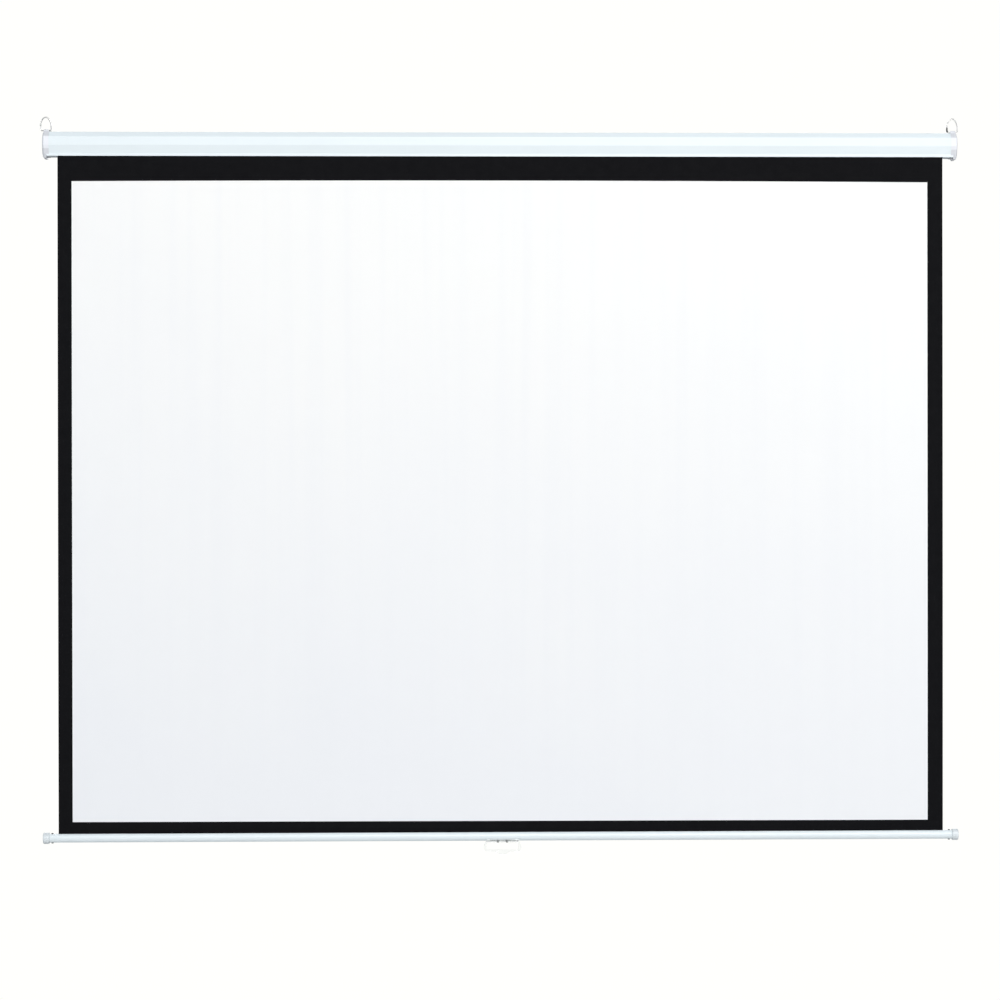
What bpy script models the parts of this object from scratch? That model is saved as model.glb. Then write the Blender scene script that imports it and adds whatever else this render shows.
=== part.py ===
"""Pull-down projector screen with a spring roller in a flat-backed case.

The screen hangs from a ring at each end of its case. A pull on the handle unrolls the fabric, a ratchet
in the right end of the roller holds it, and a spring inside the roller winds it back up.
Metres, +X to the viewer's right, +Y towards the wall, +Z up. The origin is the middle of the case's back.
"""

import math

import bmesh
import bpy
from mathutils import Vector

# Picture and fabric
PICTURE_WIDTH = 2.032
PICTURE_HEIGHT = 1.524
SIDE_BORDER = 0.0345
BOTTOM_BORDER = 0.0242
TOP_BORDER_SHOWN = 0.0557
FABRIC_THICKNESS = 0.00036
SPARE_TURNS = 1.25

# Clearances
GAP = 0.0003
THRUST_GAP = 0.0005
LIP_GAP = 0.0013

# Case
END_BEYOND_FABRIC = 0.0365
CASE_DEPTH = 0.058
CASE_HEIGHT = 0.0576
CASE_WALL = 0.0012
CASE_BEND_RADIUS = 0.0025
TOP_BEVEL_HEIGHT = 0.0124
TOP_BEVEL_DEPTH = 0.015
FRONT_HEIGHT = 0.020
LIP_HEIGHT = 0.0068
REAR_CHAMFER = 0.004
SLOT_WIDTH = 0.009
SLOT_RETURN = 0.005

# End caps of the case
CAP_FLANGE = 0.0104
CAP_SLEEVE = 0.006
CAP_PROUD = 0.0016
SLEEVE_PROUD = 0.0010
CAP_FOOT = 0.0057
CAP_FLUSH_SETBACK = 0.0005
CAP_DOME_LENGTH = 0.0055
CAP_DOME_SHARE = 0.5
CAP_CORNER_RADIUS = 0.006
CAP_SHELL = 0.0025
PLUG_LENGTH = 0.012
PLUG_WALL = 0.002
BOSS_RADIUS = 0.009
SOCKET_DEPTH = 0.012
RIB_THICKNESS = 0.0016

# Hanging lug and ring
LUG_HEIGHT = 0.007
LUG_WIDTH = 0.013
LUG_ROOT_DEPTH = 0.006
LUG_BASE_THICKNESS = 0.0156
LUG_TOP_THICKNESS = 0.0104
LUG_WALL = 0.0016
LUG_HOLE_RADIUS = 0.0025
LUG_FROM_END = 0.0086
RING_WIRE_RADIUS = 0.0014
RING_WIDTH = 0.0275
RING_HEIGHT = 0.0345
RING_CORNER_RADIUS = 0.004
RING_SHOULDER = 0.010
RING_SLIDE = -0.0014

# Roller
ROLLER_RADIUS = 0.019
ROLLER_WALL = 0.001
ROLLER_BEYOND_FABRIC = 0.004
END_FLANGE = 0.0015
IDLE_PLUG_LENGTH = 0.022
IDLE_PIN_RADIUS = 0.003
IDLE_PIN_REACH = 0.018
BUSH_WALL = 0.0018
BUSH_FLANGE = 0.0012

# Spindle, ratchet and spring
SPINDLE_RADIUS = 0.004
SPINDLE_HALF_FLAT = 0.003
CUP_WALL = 0.0018
CUP_BASE = 0.0035
COVER_THICKNESS = 0.0015
RATCHET_RADIUS = 0.0076
RATCHET_THICKNESS = 0.0036
NOTCH_DEPTH = 0.0021
PAWL_THICKNESS = 0.004
PAWL_SIDE_GAP = 0.0004
PAWL_BOSS_RADIUS = 0.0022
PAWL_NOSE_RADIUS = 0.0012
PAWL_LIFT = 0.0008
PAWL_PIN_RADIUS = 0.0011
PIN_SEAT_DEPTH = 0.0025
SPRING_HUB_RADIUS = 0.0078
SPRING_HUB_LENGTH = 0.020
SPRING_WIRE_RADIUS = 0.0009
SPRING_LENGTH = 0.130
SPRING_TURNS = 36
SPRING_POINTS_PER_TURN = 10
ANCHOR_RIM_RADIUS = 0.0105
ANCHOR_RIM_LENGTH = 0.003

# Pull bar
BAR_RADIUS = 0.0103
BAR_WALL = 0.001
BAR_SLOT = 0.0036
BAR_CAP_FLANGE = 0.015
BAR_CAP_RADIUS = 0.0134
BAR_CAP_EDGE = 0.0035
BAR_PLUG_LENGTH = 0.016
BAR_SCREW_FROM_CAP = 0.007
HEM_ROD_RADIUS = 0.003
HEM_LAP_DEGREES = 320

# Pull handle
SADDLE_LENGTH = 0.076
SADDLE_THICKNESS = 0.0022
SADDLE_HALF_DEGREES = 50
HANDLE_TOP_HALF = 0.040
HANDLE_HALF_WIDTH = 0.045
HANDLE_DROP = 0.0258
HANDLE_LOBE_DROP = 0.0320
HANDLE_LOBE_HALF = 0.0075
HANDLE_LOBE_FOOT = 0.015
HANDLE_THICKNESS = 0.007
HANDLE_CORNER_RADIUS = 0.005
HANDLE_SIDE = 0.0065
HANDLE_WEB = 0.0017
HANDLE_GRIP = 0.0052
HANDLE_EDGE = 0.001
HANDLE_SCREW_SPACING = 0.0215

# Screws
SCREW_HEAD_RADIUS = 0.0026
SCREW_HEAD_HEIGHT = 0.0016
SCREW_SHANK_RADIUS = 0.0014
SCREW_LENGTH = 0.0065
SCREW_CROWN_SHARE = 0.55
SCREW_RIM_SHARE = 0.9
SCREW_RIM_HEIGHT_SHARE = 0.6
CASE_SCREW_DEPTHS = (0.010, 0.0386)

# Fineness of round shapes
ROUND_SIDES = 32
SMALL_SIDES = 16
PIN_SIDES = 12
BEND_STEPS = 3
DOME_STEPS = 4
FLAT_STEPS = 6
LUG_STEPS = 10
RING_STEPS = 16
RING_CORNER_STEPS = 4
PAWL_BOSS_STEPS = 12
PAWL_NOSE_STEPS = 8
SADDLE_STEPS = 12
WRAP_STEPS_PER_TURN = 40

# Where shading breaks, where an edge is softened, and how near two corners lie that are one
SHARP_DEGREES = 35
SOFTENED_DEGREES = 60
SAME_PLACE = 0.000001
SAME_DIRECTION = 0.9999

# The most of a line that a rounded corner takes
CORNER_SHARE = 0.45

# How far a drill reaches to each side of the skin that it goes through
DRILL_REACH = 0.003

# A tool along X stood upright, with its flats and not its corners across the ridges that it cuts
UPRIGHT = (math.pi / SMALL_SIDES, math.pi / 2, 0)

# Places that follow from the sizes above
HALF_HEIGHT = CASE_HEIGHT / 2
FABRIC_WIDTH = PICTURE_WIDTH + 2 * SIDE_BORDER
OVERALL_WIDTH = FABRIC_WIDTH + 2 * END_BEYOND_FABRIC
ROLLER_Y = -CASE_DEPTH / 2
WRAP_START_RADIUS = ROLLER_RADIUS + GAP + FABRIC_THICKNESS / 2
WRAP_PITCH = FABRIC_THICKNESS + GAP
FABRIC_Y = ROLLER_Y - WRAP_START_RADIUS - SPARE_TURNS * WRAP_PITCH
LIP_Y = FABRIC_Y - FABRIC_THICKNESS / 2 - LIP_GAP - CASE_WALL
SLOT_REAR_Y = LIP_Y + CASE_WALL + SLOT_WIDTH
FRONT_TOP_Z = HALF_HEIGHT - TOP_BEVEL_HEIGHT
FRONT_FOOT_Z = FRONT_TOP_Z - FRONT_HEIGHT
LIP_TOP_Z = -HALF_HEIGHT + LIP_HEIGHT
SHEET_FOOT_Z = -HALF_HEIGHT - TOP_BORDER_SHOWN - PICTURE_HEIGHT
BAR_ENTRY_Z = SHEET_FOOT_Z - BOTTOM_BORDER
BAR_Z = BAR_ENTRY_Z - math.sqrt(BAR_RADIUS ** 2 - (BAR_SLOT / 2) ** 2)
CAP_SEAT_X = OVERALL_WIDTH / 2 - CAP_FLANGE
ROLLER_HALF = FABRIC_WIDTH / 2 + ROLLER_BEYOND_FABRIC
ROLLER_END_X = ROLLER_HALF + GAP + END_FLANGE
BOSS_END_X = ROLLER_END_X + THRUST_GAP
ROLLER_BORE = ROLLER_RADIUS - ROLLER_WALL
PLUG_RADIUS = ROLLER_BORE - GAP
CUP_RADIUS = PLUG_RADIUS - CUP_WALL
CUP_DEPTH = GAP + COVER_THICKNESS + PAWL_THICKNESS + 2 * PAWL_SIDE_GAP
CUP_FLOOR_X = ROLLER_END_X - CUP_DEPTH
CUP_BACK_X = CUP_FLOOR_X - CUP_BASE
PAWL_MID_X = CUP_FLOOR_X + PAWL_SIDE_GAP + PAWL_THICKNESS / 2
PAWL_PIVOT_RADIUS = CUP_RADIUS - PAWL_BOSS_RADIUS - PAWL_SIDE_GAP
NOSE_CLEAR_RADIUS = RATCHET_RADIUS + PAWL_LIFT + PAWL_NOSE_RADIUS
NOSE_LOCKED_RADIUS = RATCHET_RADIUS - NOTCH_DEPTH + GAP + PAWL_NOSE_RADIUS
PAWL_ARM = math.sqrt(PAWL_PIVOT_RADIUS ** 2 - NOSE_CLEAR_RADIUS ** 2)
SPRING_RADIUS = (SPRING_HUB_RADIUS + GAP + SPRING_WIRE_RADIUS) / math.cos(math.pi / SPRING_POINTS_PER_TURN)
SPRING_START_X = CUP_BACK_X - GAP - SPRING_WIRE_RADIUS
ANCHOR_X = SPRING_START_X - SPRING_LENGTH
SPINDLE_INNER_X = ANCHOR_X - ANCHOR_RIM_LENGTH - GAP
SPINDLE_OUTER_X = BOSS_END_X + SOCKET_DEPTH - GAP
LUG_X = OVERALL_WIDTH / 2 - LUG_FROM_END
LUG_CROWN_RADIUS = LUG_HOLE_RADIUS + LUG_WALL
LUG_HOLE_Z = HALF_HEIGHT + LUG_HEIGHT - LUG_CROWN_RADIUS
RING_AXIS_Z = LUG_HOLE_Z + LUG_HOLE_RADIUS - RING_WIRE_RADIUS - GAP
BAR_CAP_SEAT_X = OVERALL_WIDTH / 2 - BAR_CAP_FLANGE
BAR_BORE = BAR_RADIUS - BAR_WALL
SADDLE_BORE = BAR_RADIUS + GAP


def clear_scene():
    for item in list(bpy.data.objects):
        bpy.data.objects.remove(item, do_unlink=True)


def material(name, colour, roughness, metallic=0.0, alpha=1.0):
    finish = bpy.data.materials.new(name)
    finish.use_nodes = True
    shader = finish.node_tree.nodes["Principled BSDF"]
    shader.inputs["Base Color"].default_value = (*colour, 1.0)
    shader.inputs["Roughness"].default_value = roughness
    shader.inputs["Metallic"].default_value = metallic
    shader.inputs["Alpha"].default_value = alpha
    return finish


def axis_empty(name, location):
    empty = bpy.data.objects.new(name, None)
    empty.location = location
    empty.empty_display_size = 0.02
    bpy.context.scene.collection.objects.link(empty)
    return empty


def add_object(name, mesh, finish, parent, location=(0, 0, 0), rotation=(0, 0, 0)):
    """A finished bmesh as a named object under its parent."""
    data = bpy.data.meshes.new(name)
    mesh.to_mesh(data)
    mesh.free()
    data.shade_smooth()
    data.set_sharp_from_angle(angle=math.radians(SHARP_DEGREES))
    piece = bpy.data.objects.new(name, data)
    bpy.context.scene.collection.objects.link(piece)
    if finish:
        data.materials.append(finish)
    piece.parent = parent
    piece.location = location
    piece.rotation_euler = rotation
    return piece


def combine(piece, operation, mesh, name, location=(0, 0, 0), rotation=(0, 0, 0)):
    """Cut a bmesh from a piece, or join it on, with an exact Boolean whose tool stays as a guide."""
    tool = add_object(f"{piece.name}_{name}", mesh, None, piece, location, rotation)
    tool.hide_render = True
    tool.display_type = "WIRE"
    step = piece.modifiers.new(name, "BOOLEAN")
    step.operation = operation
    step.solver = "EXACT"
    step.object = tool
    return tool


def closed_sides(mesh):
    bmesh.ops.recalc_face_normals(mesh, faces=mesh.faces)
    return mesh


def push(mesh, faces, vector):
    """Extrude flat faces into a solid."""
    pushed = bmesh.ops.extrude_face_region(mesh, geom=faces)
    corners = [item for item in pushed["geom"] if isinstance(item, bmesh.types.BMVert)]
    bmesh.ops.translate(mesh, vec=vector, verts=corners)


def prism_x(outline, start, end):
    """A closed (y, z) outline drawn along X."""
    mesh = bmesh.new()
    corners = [mesh.verts.new((start, y, z)) for y, z in outline]
    push(mesh, [mesh.faces.new(corners)], (end - start, 0, 0))
    return closed_sides(mesh)


def prism_y(outline, start, end):
    """A closed (x, z) outline drawn along Y."""
    mesh = bmesh.new()
    corners = [mesh.verts.new((x, start, z)) for x, z in outline]
    push(mesh, [mesh.faces.new(corners)], (0, end - start, 0))
    return closed_sides(mesh)


def band_x(one_side, other_side, start, end):
    """A sheet's section, given as its two sides in (y, z), drawn along X."""
    mesh = bmesh.new()
    first = [mesh.verts.new((start, y, z)) for y, z in one_side]
    second = [mesh.verts.new((start, y, z)) for y, z in other_side]
    pairs = zip(first, first[1:], second[1:], second)
    push(mesh, [mesh.faces.new(corners) for corners in pairs], (end - start, 0, 0))
    return closed_sides(mesh)


def turned(profile, sides, closed):
    """A profile of (x, radius) points turned about the X axis."""
    mesh = bmesh.new()
    points = [mesh.verts.new((x, 0, radius)) for x, radius in profile]
    edges = [mesh.edges.new(pair) for pair in zip(points, points[1:])]
    if closed:
        edges.append(mesh.edges.new((points[-1], points[0])))
    bmesh.ops.spin(
        mesh,
        geom=points + edges,
        cent=(0, 0, 0),
        axis=(1, 0, 0),
        angle=2 * math.pi,
        steps=sides,
        use_merge=True,
    )
    bmesh.ops.remove_doubles(mesh, verts=mesh.verts, dist=SAME_PLACE)
    closed_sides(mesh)
    hubs = [corner for corner in mesh.verts if math.hypot(corner.co.y, corner.co.z) < SAME_PLACE]
    flat_hubs = [hub for hub in hubs if all(abs(face.normal.x) > SAME_DIRECTION for face in hub.link_faces)]
    bmesh.ops.dissolve_verts(mesh, verts=flat_hubs)
    return mesh


def rod(radius, start, end, sides=SMALL_SIDES):
    return turned([(start, 0), (start, radius), (end, radius), (end, 0)], sides, closed=False)


def tube(bore, radius, start, end, sides=ROUND_SIDES):
    return turned([(start, bore), (start, radius), (end, radius), (end, bore)], sides, closed=True)


def arc(centre, radius, start_degrees, end_degrees, steps):
    points = []
    for step in range(steps + 1):
        angle = math.radians(start_degrees + (end_degrees - start_degrees) * step / steps)
        points.append(Vector((centre[0] + radius * math.cos(angle), centre[1] + radius * math.sin(angle))))
    return points


def rounded(points, radius, steps, closed):
    """The same line with an arc at each of its corners."""
    smooth = []
    for index, corner in enumerate(points):
        if not closed and index in (0, len(points) - 1):
            smooth.append(corner)
            continue
        back = points[index - 1] - corner
        ahead = points[(index + 1) % len(points)] - corner
        half_turn = (math.pi - back.angle(ahead)) / 2
        cut = min(radius * math.tan(half_turn), CORNER_SHARE * back.length, CORNER_SHARE * ahead.length)
        arc_radius = cut / math.tan(half_turn)
        inwards = (back.normalized() + ahead.normalized()).normalized()
        centre = corner + inwards * math.hypot(cut, arc_radius)
        first = corner + back.normalized() * cut - centre
        last = corner + ahead.normalized() * cut - centre
        for step in range(steps + 1):
            smooth.append(centre + first.lerp(last, step / steps).normalized() * arc_radius)
    return smooth


def beside(points, distance, closed):
    """The line moved to its left by a distance, with its corners mitred."""
    moved = []
    for index, point in enumerate(points):
        lines = []
        if closed or index > 0:
            lines.append(point - points[index - 1])
        if closed or index < len(points) - 1:
            lines.append(points[(index + 1) % len(points)] - point)
        normals = [Vector((-line.y, line.x)).normalized() for line in lines]
        normal = sum(normals, Vector((0, 0))).normalized()
        moved.append(point + normal * distance / normal.dot(normals[0]))
    return moved


def double_d(radius, half_flat):
    """A round bar's section with two opposite flats, as (y, z) points."""
    lean = math.degrees(math.asin(half_flat / radius))
    near_side = arc((0, 0), radius, -lean, lean, FLAT_STEPS)
    far_side = arc((0, 0), radius, 180 - lean, 180 + lean, FLAT_STEPS)
    return near_side + far_side


def case_corners():
    """The case's outer section, from the lip's foot round the front, top and back to its foot's rear."""
    return [
        Vector((LIP_Y, -HALF_HEIGHT)),
        Vector((LIP_Y, LIP_TOP_Z)),
        Vector((-CASE_DEPTH, FRONT_FOOT_Z)),
        Vector((-CASE_DEPTH, FRONT_TOP_Z)),
        Vector((TOP_BEVEL_DEPTH - CASE_DEPTH, HALF_HEIGHT)),
        Vector((-REAR_CHAMFER, HALF_HEIGHT)),
        Vector((0, HALF_HEIGHT - REAR_CHAMFER)),
        Vector((0, REAR_CHAMFER - HALF_HEIGHT)),
        Vector((-REAR_CHAMFER, -HALF_HEIGHT)),
    ]


def cap_corners(proud, foot, setback):
    """The end cap's section: the case's, grown all round except at its flush back."""
    corners = beside(case_corners(), proud, closed=True)
    grown = [Vector((min(corner.x, -setback), corner.y)) for corner in corners]
    grown[0] = Vector((LIP_Y + foot, -HALF_HEIGHT - foot))
    grown[8] = Vector((-REAR_CHAMFER - foot, -HALF_HEIGHT - foot))
    return grown


def make_case(finish, parent):
    corners = case_corners()
    slot_edge = [Vector((SLOT_REAR_Y, SLOT_RETURN - HALF_HEIGHT)), Vector((SLOT_REAR_Y, -HALF_HEIGHT))]
    outside = rounded(slot_edge + corners[::-1], CASE_BEND_RADIUS, BEND_STEPS, closed=False)
    inside = beside(outside, CASE_WALL, closed=False)
    half = CAP_SEAT_X - GAP
    case = add_object("case", band_x(outside, inside, -half, half), finish, parent)
    for side in (-1, 1):
        for number, depth in enumerate(CASE_SCREW_DEPTHS):
            hole = rod(SCREW_SHANK_RADIUS + GAP, -DRILL_REACH, DRILL_REACH)
            place = (side * case_screw_x(), -depth, HALF_HEIGHT)
            combine(case, "DIFFERENCE", hole, f"hole_{number}_{side}", place, UPRIGHT)
    return case


def case_screw_x():
    """The case's screws sit midway between the cap's sleeve and the end of its plug."""
    return CAP_SEAT_X - (PLUG_LENGTH + CAP_SLEEVE) / 2


def dome(side):
    """The cap's flange and its domed outer end, as a stack of sections joined by faces."""
    outline = rounded(cap_corners(CAP_PROUD, CAP_FOOT, 0), CAP_CORNER_RADIUS, BEND_STEPS, closed=True)
    middle = Vector((ROLLER_Y, 0))
    dome_start = CAP_FLANGE - CAP_DOME_LENGTH
    sections = [(0, 1), (dome_start, 1)]
    for step in range(1, DOME_STEPS + 1):
        angle = math.pi / 2 * step / DOME_STEPS
        shrink = 1 - CAP_DOME_SHARE * (1 - math.cos(angle))
        sections.append((dome_start + CAP_DOME_LENGTH * math.sin(angle), shrink))
    mesh = bmesh.new()
    rings = []
    for reach, size in sections:
        spread = [middle + (point - middle) * size for point in outline]
        rings.append([mesh.verts.new((side * reach, point.x, point.y)) for point in spread])
    for ring, further in zip(rings, rings[1:]):
        for index in range(len(ring)):
            mesh.faces.new((ring[index - 1], ring[index], further[index], further[index - 1]))
    mesh.faces.new(rings[0])
    mesh.faces.new(rings[-1])
    return closed_sides(mesh)


def lug(side):
    """The tapered ear above the cap, rooted in its flange, which the ring passes through."""
    low = HALF_HEIGHT - LUG_ROOT_DEPTH
    crown = arc((ROLLER_Y, LUG_HOLE_Z), LUG_CROWN_RADIUS, 15, 165, LUG_STEPS)
    foot = [Vector((ROLLER_Y - LUG_WIDTH / 2, low)), Vector((ROLLER_Y + LUG_WIDTH / 2, low))]
    middle = side * (LUG_X - CAP_SEAT_X)
    mesh = prism_x(crown + foot, middle - LUG_BASE_THICKNESS / 2, middle + LUG_BASE_THICKNESS / 2)
    for corner in mesh.verts:
        rise = (corner.co.z - low) / (LUG_ROOT_DEPTH + LUG_HEIGHT)
        narrow = 1 + rise * (LUG_TOP_THICKNESS / LUG_BASE_THICKNESS - 1)
        corner.co.x = middle + (corner.co.x - middle) * narrow
    return mesh


def make_end_cap(name, side, socket, finish, parent):
    """A moulded cap: domed flange, sleeve over the case, plug inside it, ribs, boss and hanging lug."""
    cap = add_object(name, dome(side), finish, parent, (side * CAP_SEAT_X, 0, 0))

    sleeve_corners = cap_corners(SLEEVE_PROUD, SLEEVE_PROUD, CAP_FLUSH_SETBACK)
    sleeve_outline = rounded(sleeve_corners, CAP_CORNER_RADIUS / 2, BEND_STEPS, closed=True)
    sleeve = prism_x(sleeve_outline, -side * CAP_SLEEVE, side * GAP)
    combine(cap, "UNION", sleeve, "sleeve")
    combine(cap, "UNION", lug(side), "lug")
    pocket_corners = beside(case_corners(), GAP, closed=True)
    pocket_outline = rounded(pocket_corners, CASE_BEND_RADIUS, BEND_STEPS, closed=True)
    combine(cap, "DIFFERENCE", prism_x(pocket_outline, -side * (CAP_SLEEVE + GAP), 0), "pocket")

    plug_corners = beside(case_corners(), -CASE_WALL - GAP, closed=True)
    plug_outline = rounded(plug_corners, CASE_BEND_RADIUS - CASE_WALL, BEND_STEPS, closed=True)
    combine(cap, "UNION", prism_x(plug_outline, -side * PLUG_LENGTH, side * GAP), "plug")
    hollow_corners = beside(plug_corners, -PLUG_WALL, closed=True)
    hollow_outline = rounded(hollow_corners, PLUG_WALL, BEND_STEPS, closed=True)
    hollow_end = CAP_FLANGE - CAP_DOME_LENGTH - CAP_SHELL
    hollow = prism_x(hollow_outline, -side * (PLUG_LENGTH + GAP), side * hollow_end)
    combine(cap, "DIFFERENCE", hollow, "hollow")

    notch_front = SLOT_REAR_Y - GAP
    notch_rear = SLOT_REAR_Y + CASE_BEND_RADIUS + GAP
    notch_top = SLOT_RETURN - HALF_HEIGHT + GAP
    notch = [(notch_front, -HALF_HEIGHT), (notch_rear, -HALF_HEIGHT)]
    notch += [(notch_rear, notch_top), (notch_front, notch_top)]
    combine(cap, "DIFFERENCE", prism_x(notch, -side * (PLUG_LENGTH + GAP), 0), "return_notch")

    reach = PLUG_WALL / 2 + CASE_WALL + GAP
    boss_end = BOSS_END_X - CAP_SEAT_X
    rib_end = (hollow_end + boss_end) / 2
    upright = [(-RIB_THICKNESS, reach - HALF_HEIGHT), (RIB_THICKNESS, reach - HALF_HEIGHT)]
    upright += [(y, -z) for y, z in reversed(upright)]
    upright = [(ROLLER_Y + y / 2, z) for y, z in upright]
    level = [(reach - CASE_DEPTH, -RIB_THICKNESS), (-reach, -RIB_THICKNESS)]
    level += [(y, -z) for y, z in reversed(level)]
    level = [(y, z / 2) for y, z in level]
    combine(cap, "UNION", prism_x(upright, side * rib_end, side * (hollow_end + GAP)), "upright_rib")
    combine(cap, "UNION", prism_x(level, side * rib_end, side * (hollow_end + GAP)), "level_rib")
    boss = rod(BOSS_RADIUS, side * boss_end, side * (hollow_end + 2 * GAP), ROUND_SIDES)
    combine(cap, "UNION", boss, "boss", (0, ROLLER_Y, 0))
    socket_tool = prism_x(socket, side * (boss_end - GAP), side * (boss_end + SOCKET_DEPTH))
    combine(cap, "DIFFERENCE", socket_tool, "socket", (0, ROLLER_Y, 0))

    hole = rod(LUG_HOLE_RADIUS, -LUG_BASE_THICKNESS, LUG_BASE_THICKNESS)
    combine(cap, "DIFFERENCE", hole, "lug_hole", (side * (LUG_X - CAP_SEAT_X), ROLLER_Y, LUG_HOLE_Z))
    for number, depth in enumerate(CASE_SCREW_DEPTHS):
        place = (side * (case_screw_x() - CAP_SEAT_X), -depth, HALF_HEIGHT - CASE_WALL - PLUG_WALL)
        drill = rod(SCREW_SHANK_RADIUS + GAP, -DRILL_REACH, DRILL_REACH)
        combine(cap, "DIFFERENCE", drill, f"drill_{number}", place, UPRIGHT)
    return cap


def make_screw(name, finish, parent, location, points_down):
    """A round-headed screw whose seat is at its origin."""
    crown = [(-SCREW_HEAD_HEIGHT, 0), (-SCREW_HEAD_HEIGHT, SCREW_HEAD_RADIUS * SCREW_CROWN_SHARE)]
    rim = [(-SCREW_HEAD_HEIGHT * SCREW_RIM_HEIGHT_SHARE, SCREW_HEAD_RADIUS * SCREW_RIM_SHARE)]
    rim.append((0, SCREW_HEAD_RADIUS))
    point_start = SCREW_LENGTH - SCREW_SHANK_RADIUS
    shank = [(0, SCREW_SHANK_RADIUS), (point_start, SCREW_SHANK_RADIUS), (SCREW_LENGTH, 0)]
    mesh = turned(crown + rim + shank, SMALL_SIDES, closed=False)
    turn = math.pi / 2 if points_down else -math.pi / 2
    return add_object(name, mesh, finish, parent, location, (0, turn, 0))


def make_ring(name, side, finish, parent):
    """A closed wire loop. Its straight foot lies in the lug's hole and is the ring's hinge axis."""
    half = RING_WIDTH / 2 - RING_WIRE_RADIUS
    corner = RING_CORNER_RADIUS
    points = arc((half - corner, corner), corner, -90, 0, RING_CORNER_STEPS)
    crown_height = RING_HEIGHT - 2 * RING_WIRE_RADIUS - RING_SHOULDER
    for step in range(RING_STEPS + 1):
        angle = math.radians(180 * step / RING_STEPS)
        points.append(Vector((half * math.cos(angle), RING_SHOULDER + crown_height * math.sin(angle))))
    points += arc((corner - half, corner), corner, 180, 270, RING_CORNER_STEPS)
    data = bpy.data.curves.new(name, "CURVE")
    data.dimensions = "3D"
    data.bevel_depth = RING_WIRE_RADIUS
    data.bevel_resolution = 2
    line = data.splines.new("POLY")
    line.points.add(len(points) - 1)
    for node, point in zip(line.points, points):
        node.co = (point.x, 0, point.y, 1)
    line.use_cyclic_u = True
    line.use_smooth = True
    data.materials.append(finish)
    ring = bpy.data.objects.new(name, data)
    bpy.context.scene.collection.objects.link(ring)
    ring.parent = parent
    ring.location = (side * LUG_X + RING_SLIDE, ROLLER_Y, RING_AXIS_Z)
    return ring


def make_wound_fabric(finish, parent):
    """The spare turns that stay on the roller when the screen is right down."""
    steps = round(WRAP_STEPS_PER_TURN * SPARE_TURNS)
    outer = []
    inner = []
    for step in range(steps + 1):
        turn = SPARE_TURNS * step / steps
        angle = math.pi - 2 * math.pi * turn
        radius = WRAP_START_RADIUS + (SPARE_TURNS - turn) * WRAP_PITCH
        direction = Vector((math.cos(angle), math.sin(angle)))
        outer.append(direction * (radius + FABRIC_THICKNESS / 2))
        inner.append(direction * (radius - FABRIC_THICKNESS / 2))
    mesh = band_x(outer, inner, -FABRIC_WIDTH / 2, FABRIC_WIDTH / 2)
    return add_object("wound_fabric", mesh, finish, parent)


def make_screen_fabric(finish, parent):
    """The hanging sheet, from where it leaves the roller to the foot of the picture."""
    front = [(-FABRIC_THICKNESS / 2, -GAP), (-FABRIC_THICKNESS / 2, SHEET_FOOT_Z)]
    back = [(FABRIC_THICKNESS / 2, -GAP), (FABRIC_THICKNESS / 2, SHEET_FOOT_Z)]
    mesh = band_x(front, back, -FABRIC_WIDTH / 2, FABRIC_WIDTH / 2)
    return add_object("screen_fabric", mesh, finish, parent, (0, FABRIC_Y, 0))


def make_idle_end(finishes, roller, case_frame):
    """The left end of the roller: a plug with a bush that turns on a fixed pin."""
    bush_bore = IDLE_PIN_RADIUS + GAP
    bush_radius = bush_bore + BUSH_WALL
    recess = BUSH_FLANGE + GAP
    bush_flange_radius = bush_radius + BUSH_WALL
    plug_bore = bush_radius + GAP
    outer = -ROLLER_END_X
    inner = IDLE_PLUG_LENGTH - ROLLER_END_X
    profile = [
        (outer, bush_flange_radius + GAP),
        (outer, ROLLER_RADIUS - GAP),
        (outer + END_FLANGE, ROLLER_RADIUS - GAP),
        (outer + END_FLANGE, PLUG_RADIUS),
        (inner, PLUG_RADIUS),
        (inner, plug_bore),
        (outer + recess, plug_bore),
        (outer + recess, bush_flange_radius + GAP),
    ]
    add_object("idle_plug", turned(profile, ROUND_SIDES, closed=True), finishes["moulding"], roller)
    profile = [
        (outer, bush_bore),
        (outer, bush_flange_radius),
        (outer + BUSH_FLANGE, bush_flange_radius),
        (outer + BUSH_FLANGE, bush_radius),
        (inner, bush_radius),
        (inner, bush_bore),
    ]
    add_object("idle_bush", turned(profile, ROUND_SIDES, closed=True), finishes["bush"], roller)
    pin = rod(IDLE_PIN_RADIUS, GAP - BOSS_END_X - SOCKET_DEPTH, IDLE_PIN_REACH - ROLLER_END_X)
    add_object("idle_pin", pin, finishes["steel"], case_frame, (0, ROLLER_Y, 0))


def pawl_angle(nose_radius):
    """The angle at a pawl's pivot between the roller's axis and the nose, for a nose so far from it."""
    sides = PAWL_PIVOT_RADIUS ** 2 + PAWL_ARM ** 2 - nose_radius ** 2
    return math.acos(sides / (2 * PAWL_PIVOT_RADIUS * PAWL_ARM))


def pawl_outline():
    """A tapered lever along +Y of the pawl's own frame, from its boss at the origin to its round nose."""
    lean = math.degrees(math.asin((PAWL_BOSS_RADIUS - PAWL_NOSE_RADIUS) / PAWL_ARM))
    boss = arc((0, 0), PAWL_BOSS_RADIUS, 90 - lean, 270 + lean, PAWL_BOSS_STEPS)
    nose = arc((PAWL_ARM, 0), PAWL_NOSE_RADIUS, lean - 90, 90 - lean, PAWL_NOSE_STEPS)
    return boss + nose


def turned_line(points, angle):
    """Points of a (y, z) section turned about the X axis."""
    cosine = math.cos(angle)
    sine = math.sin(angle)
    return [Vector((p.x * cosine - p.y * sine, p.x * sine + p.y * cosine)) for p in points]


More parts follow.
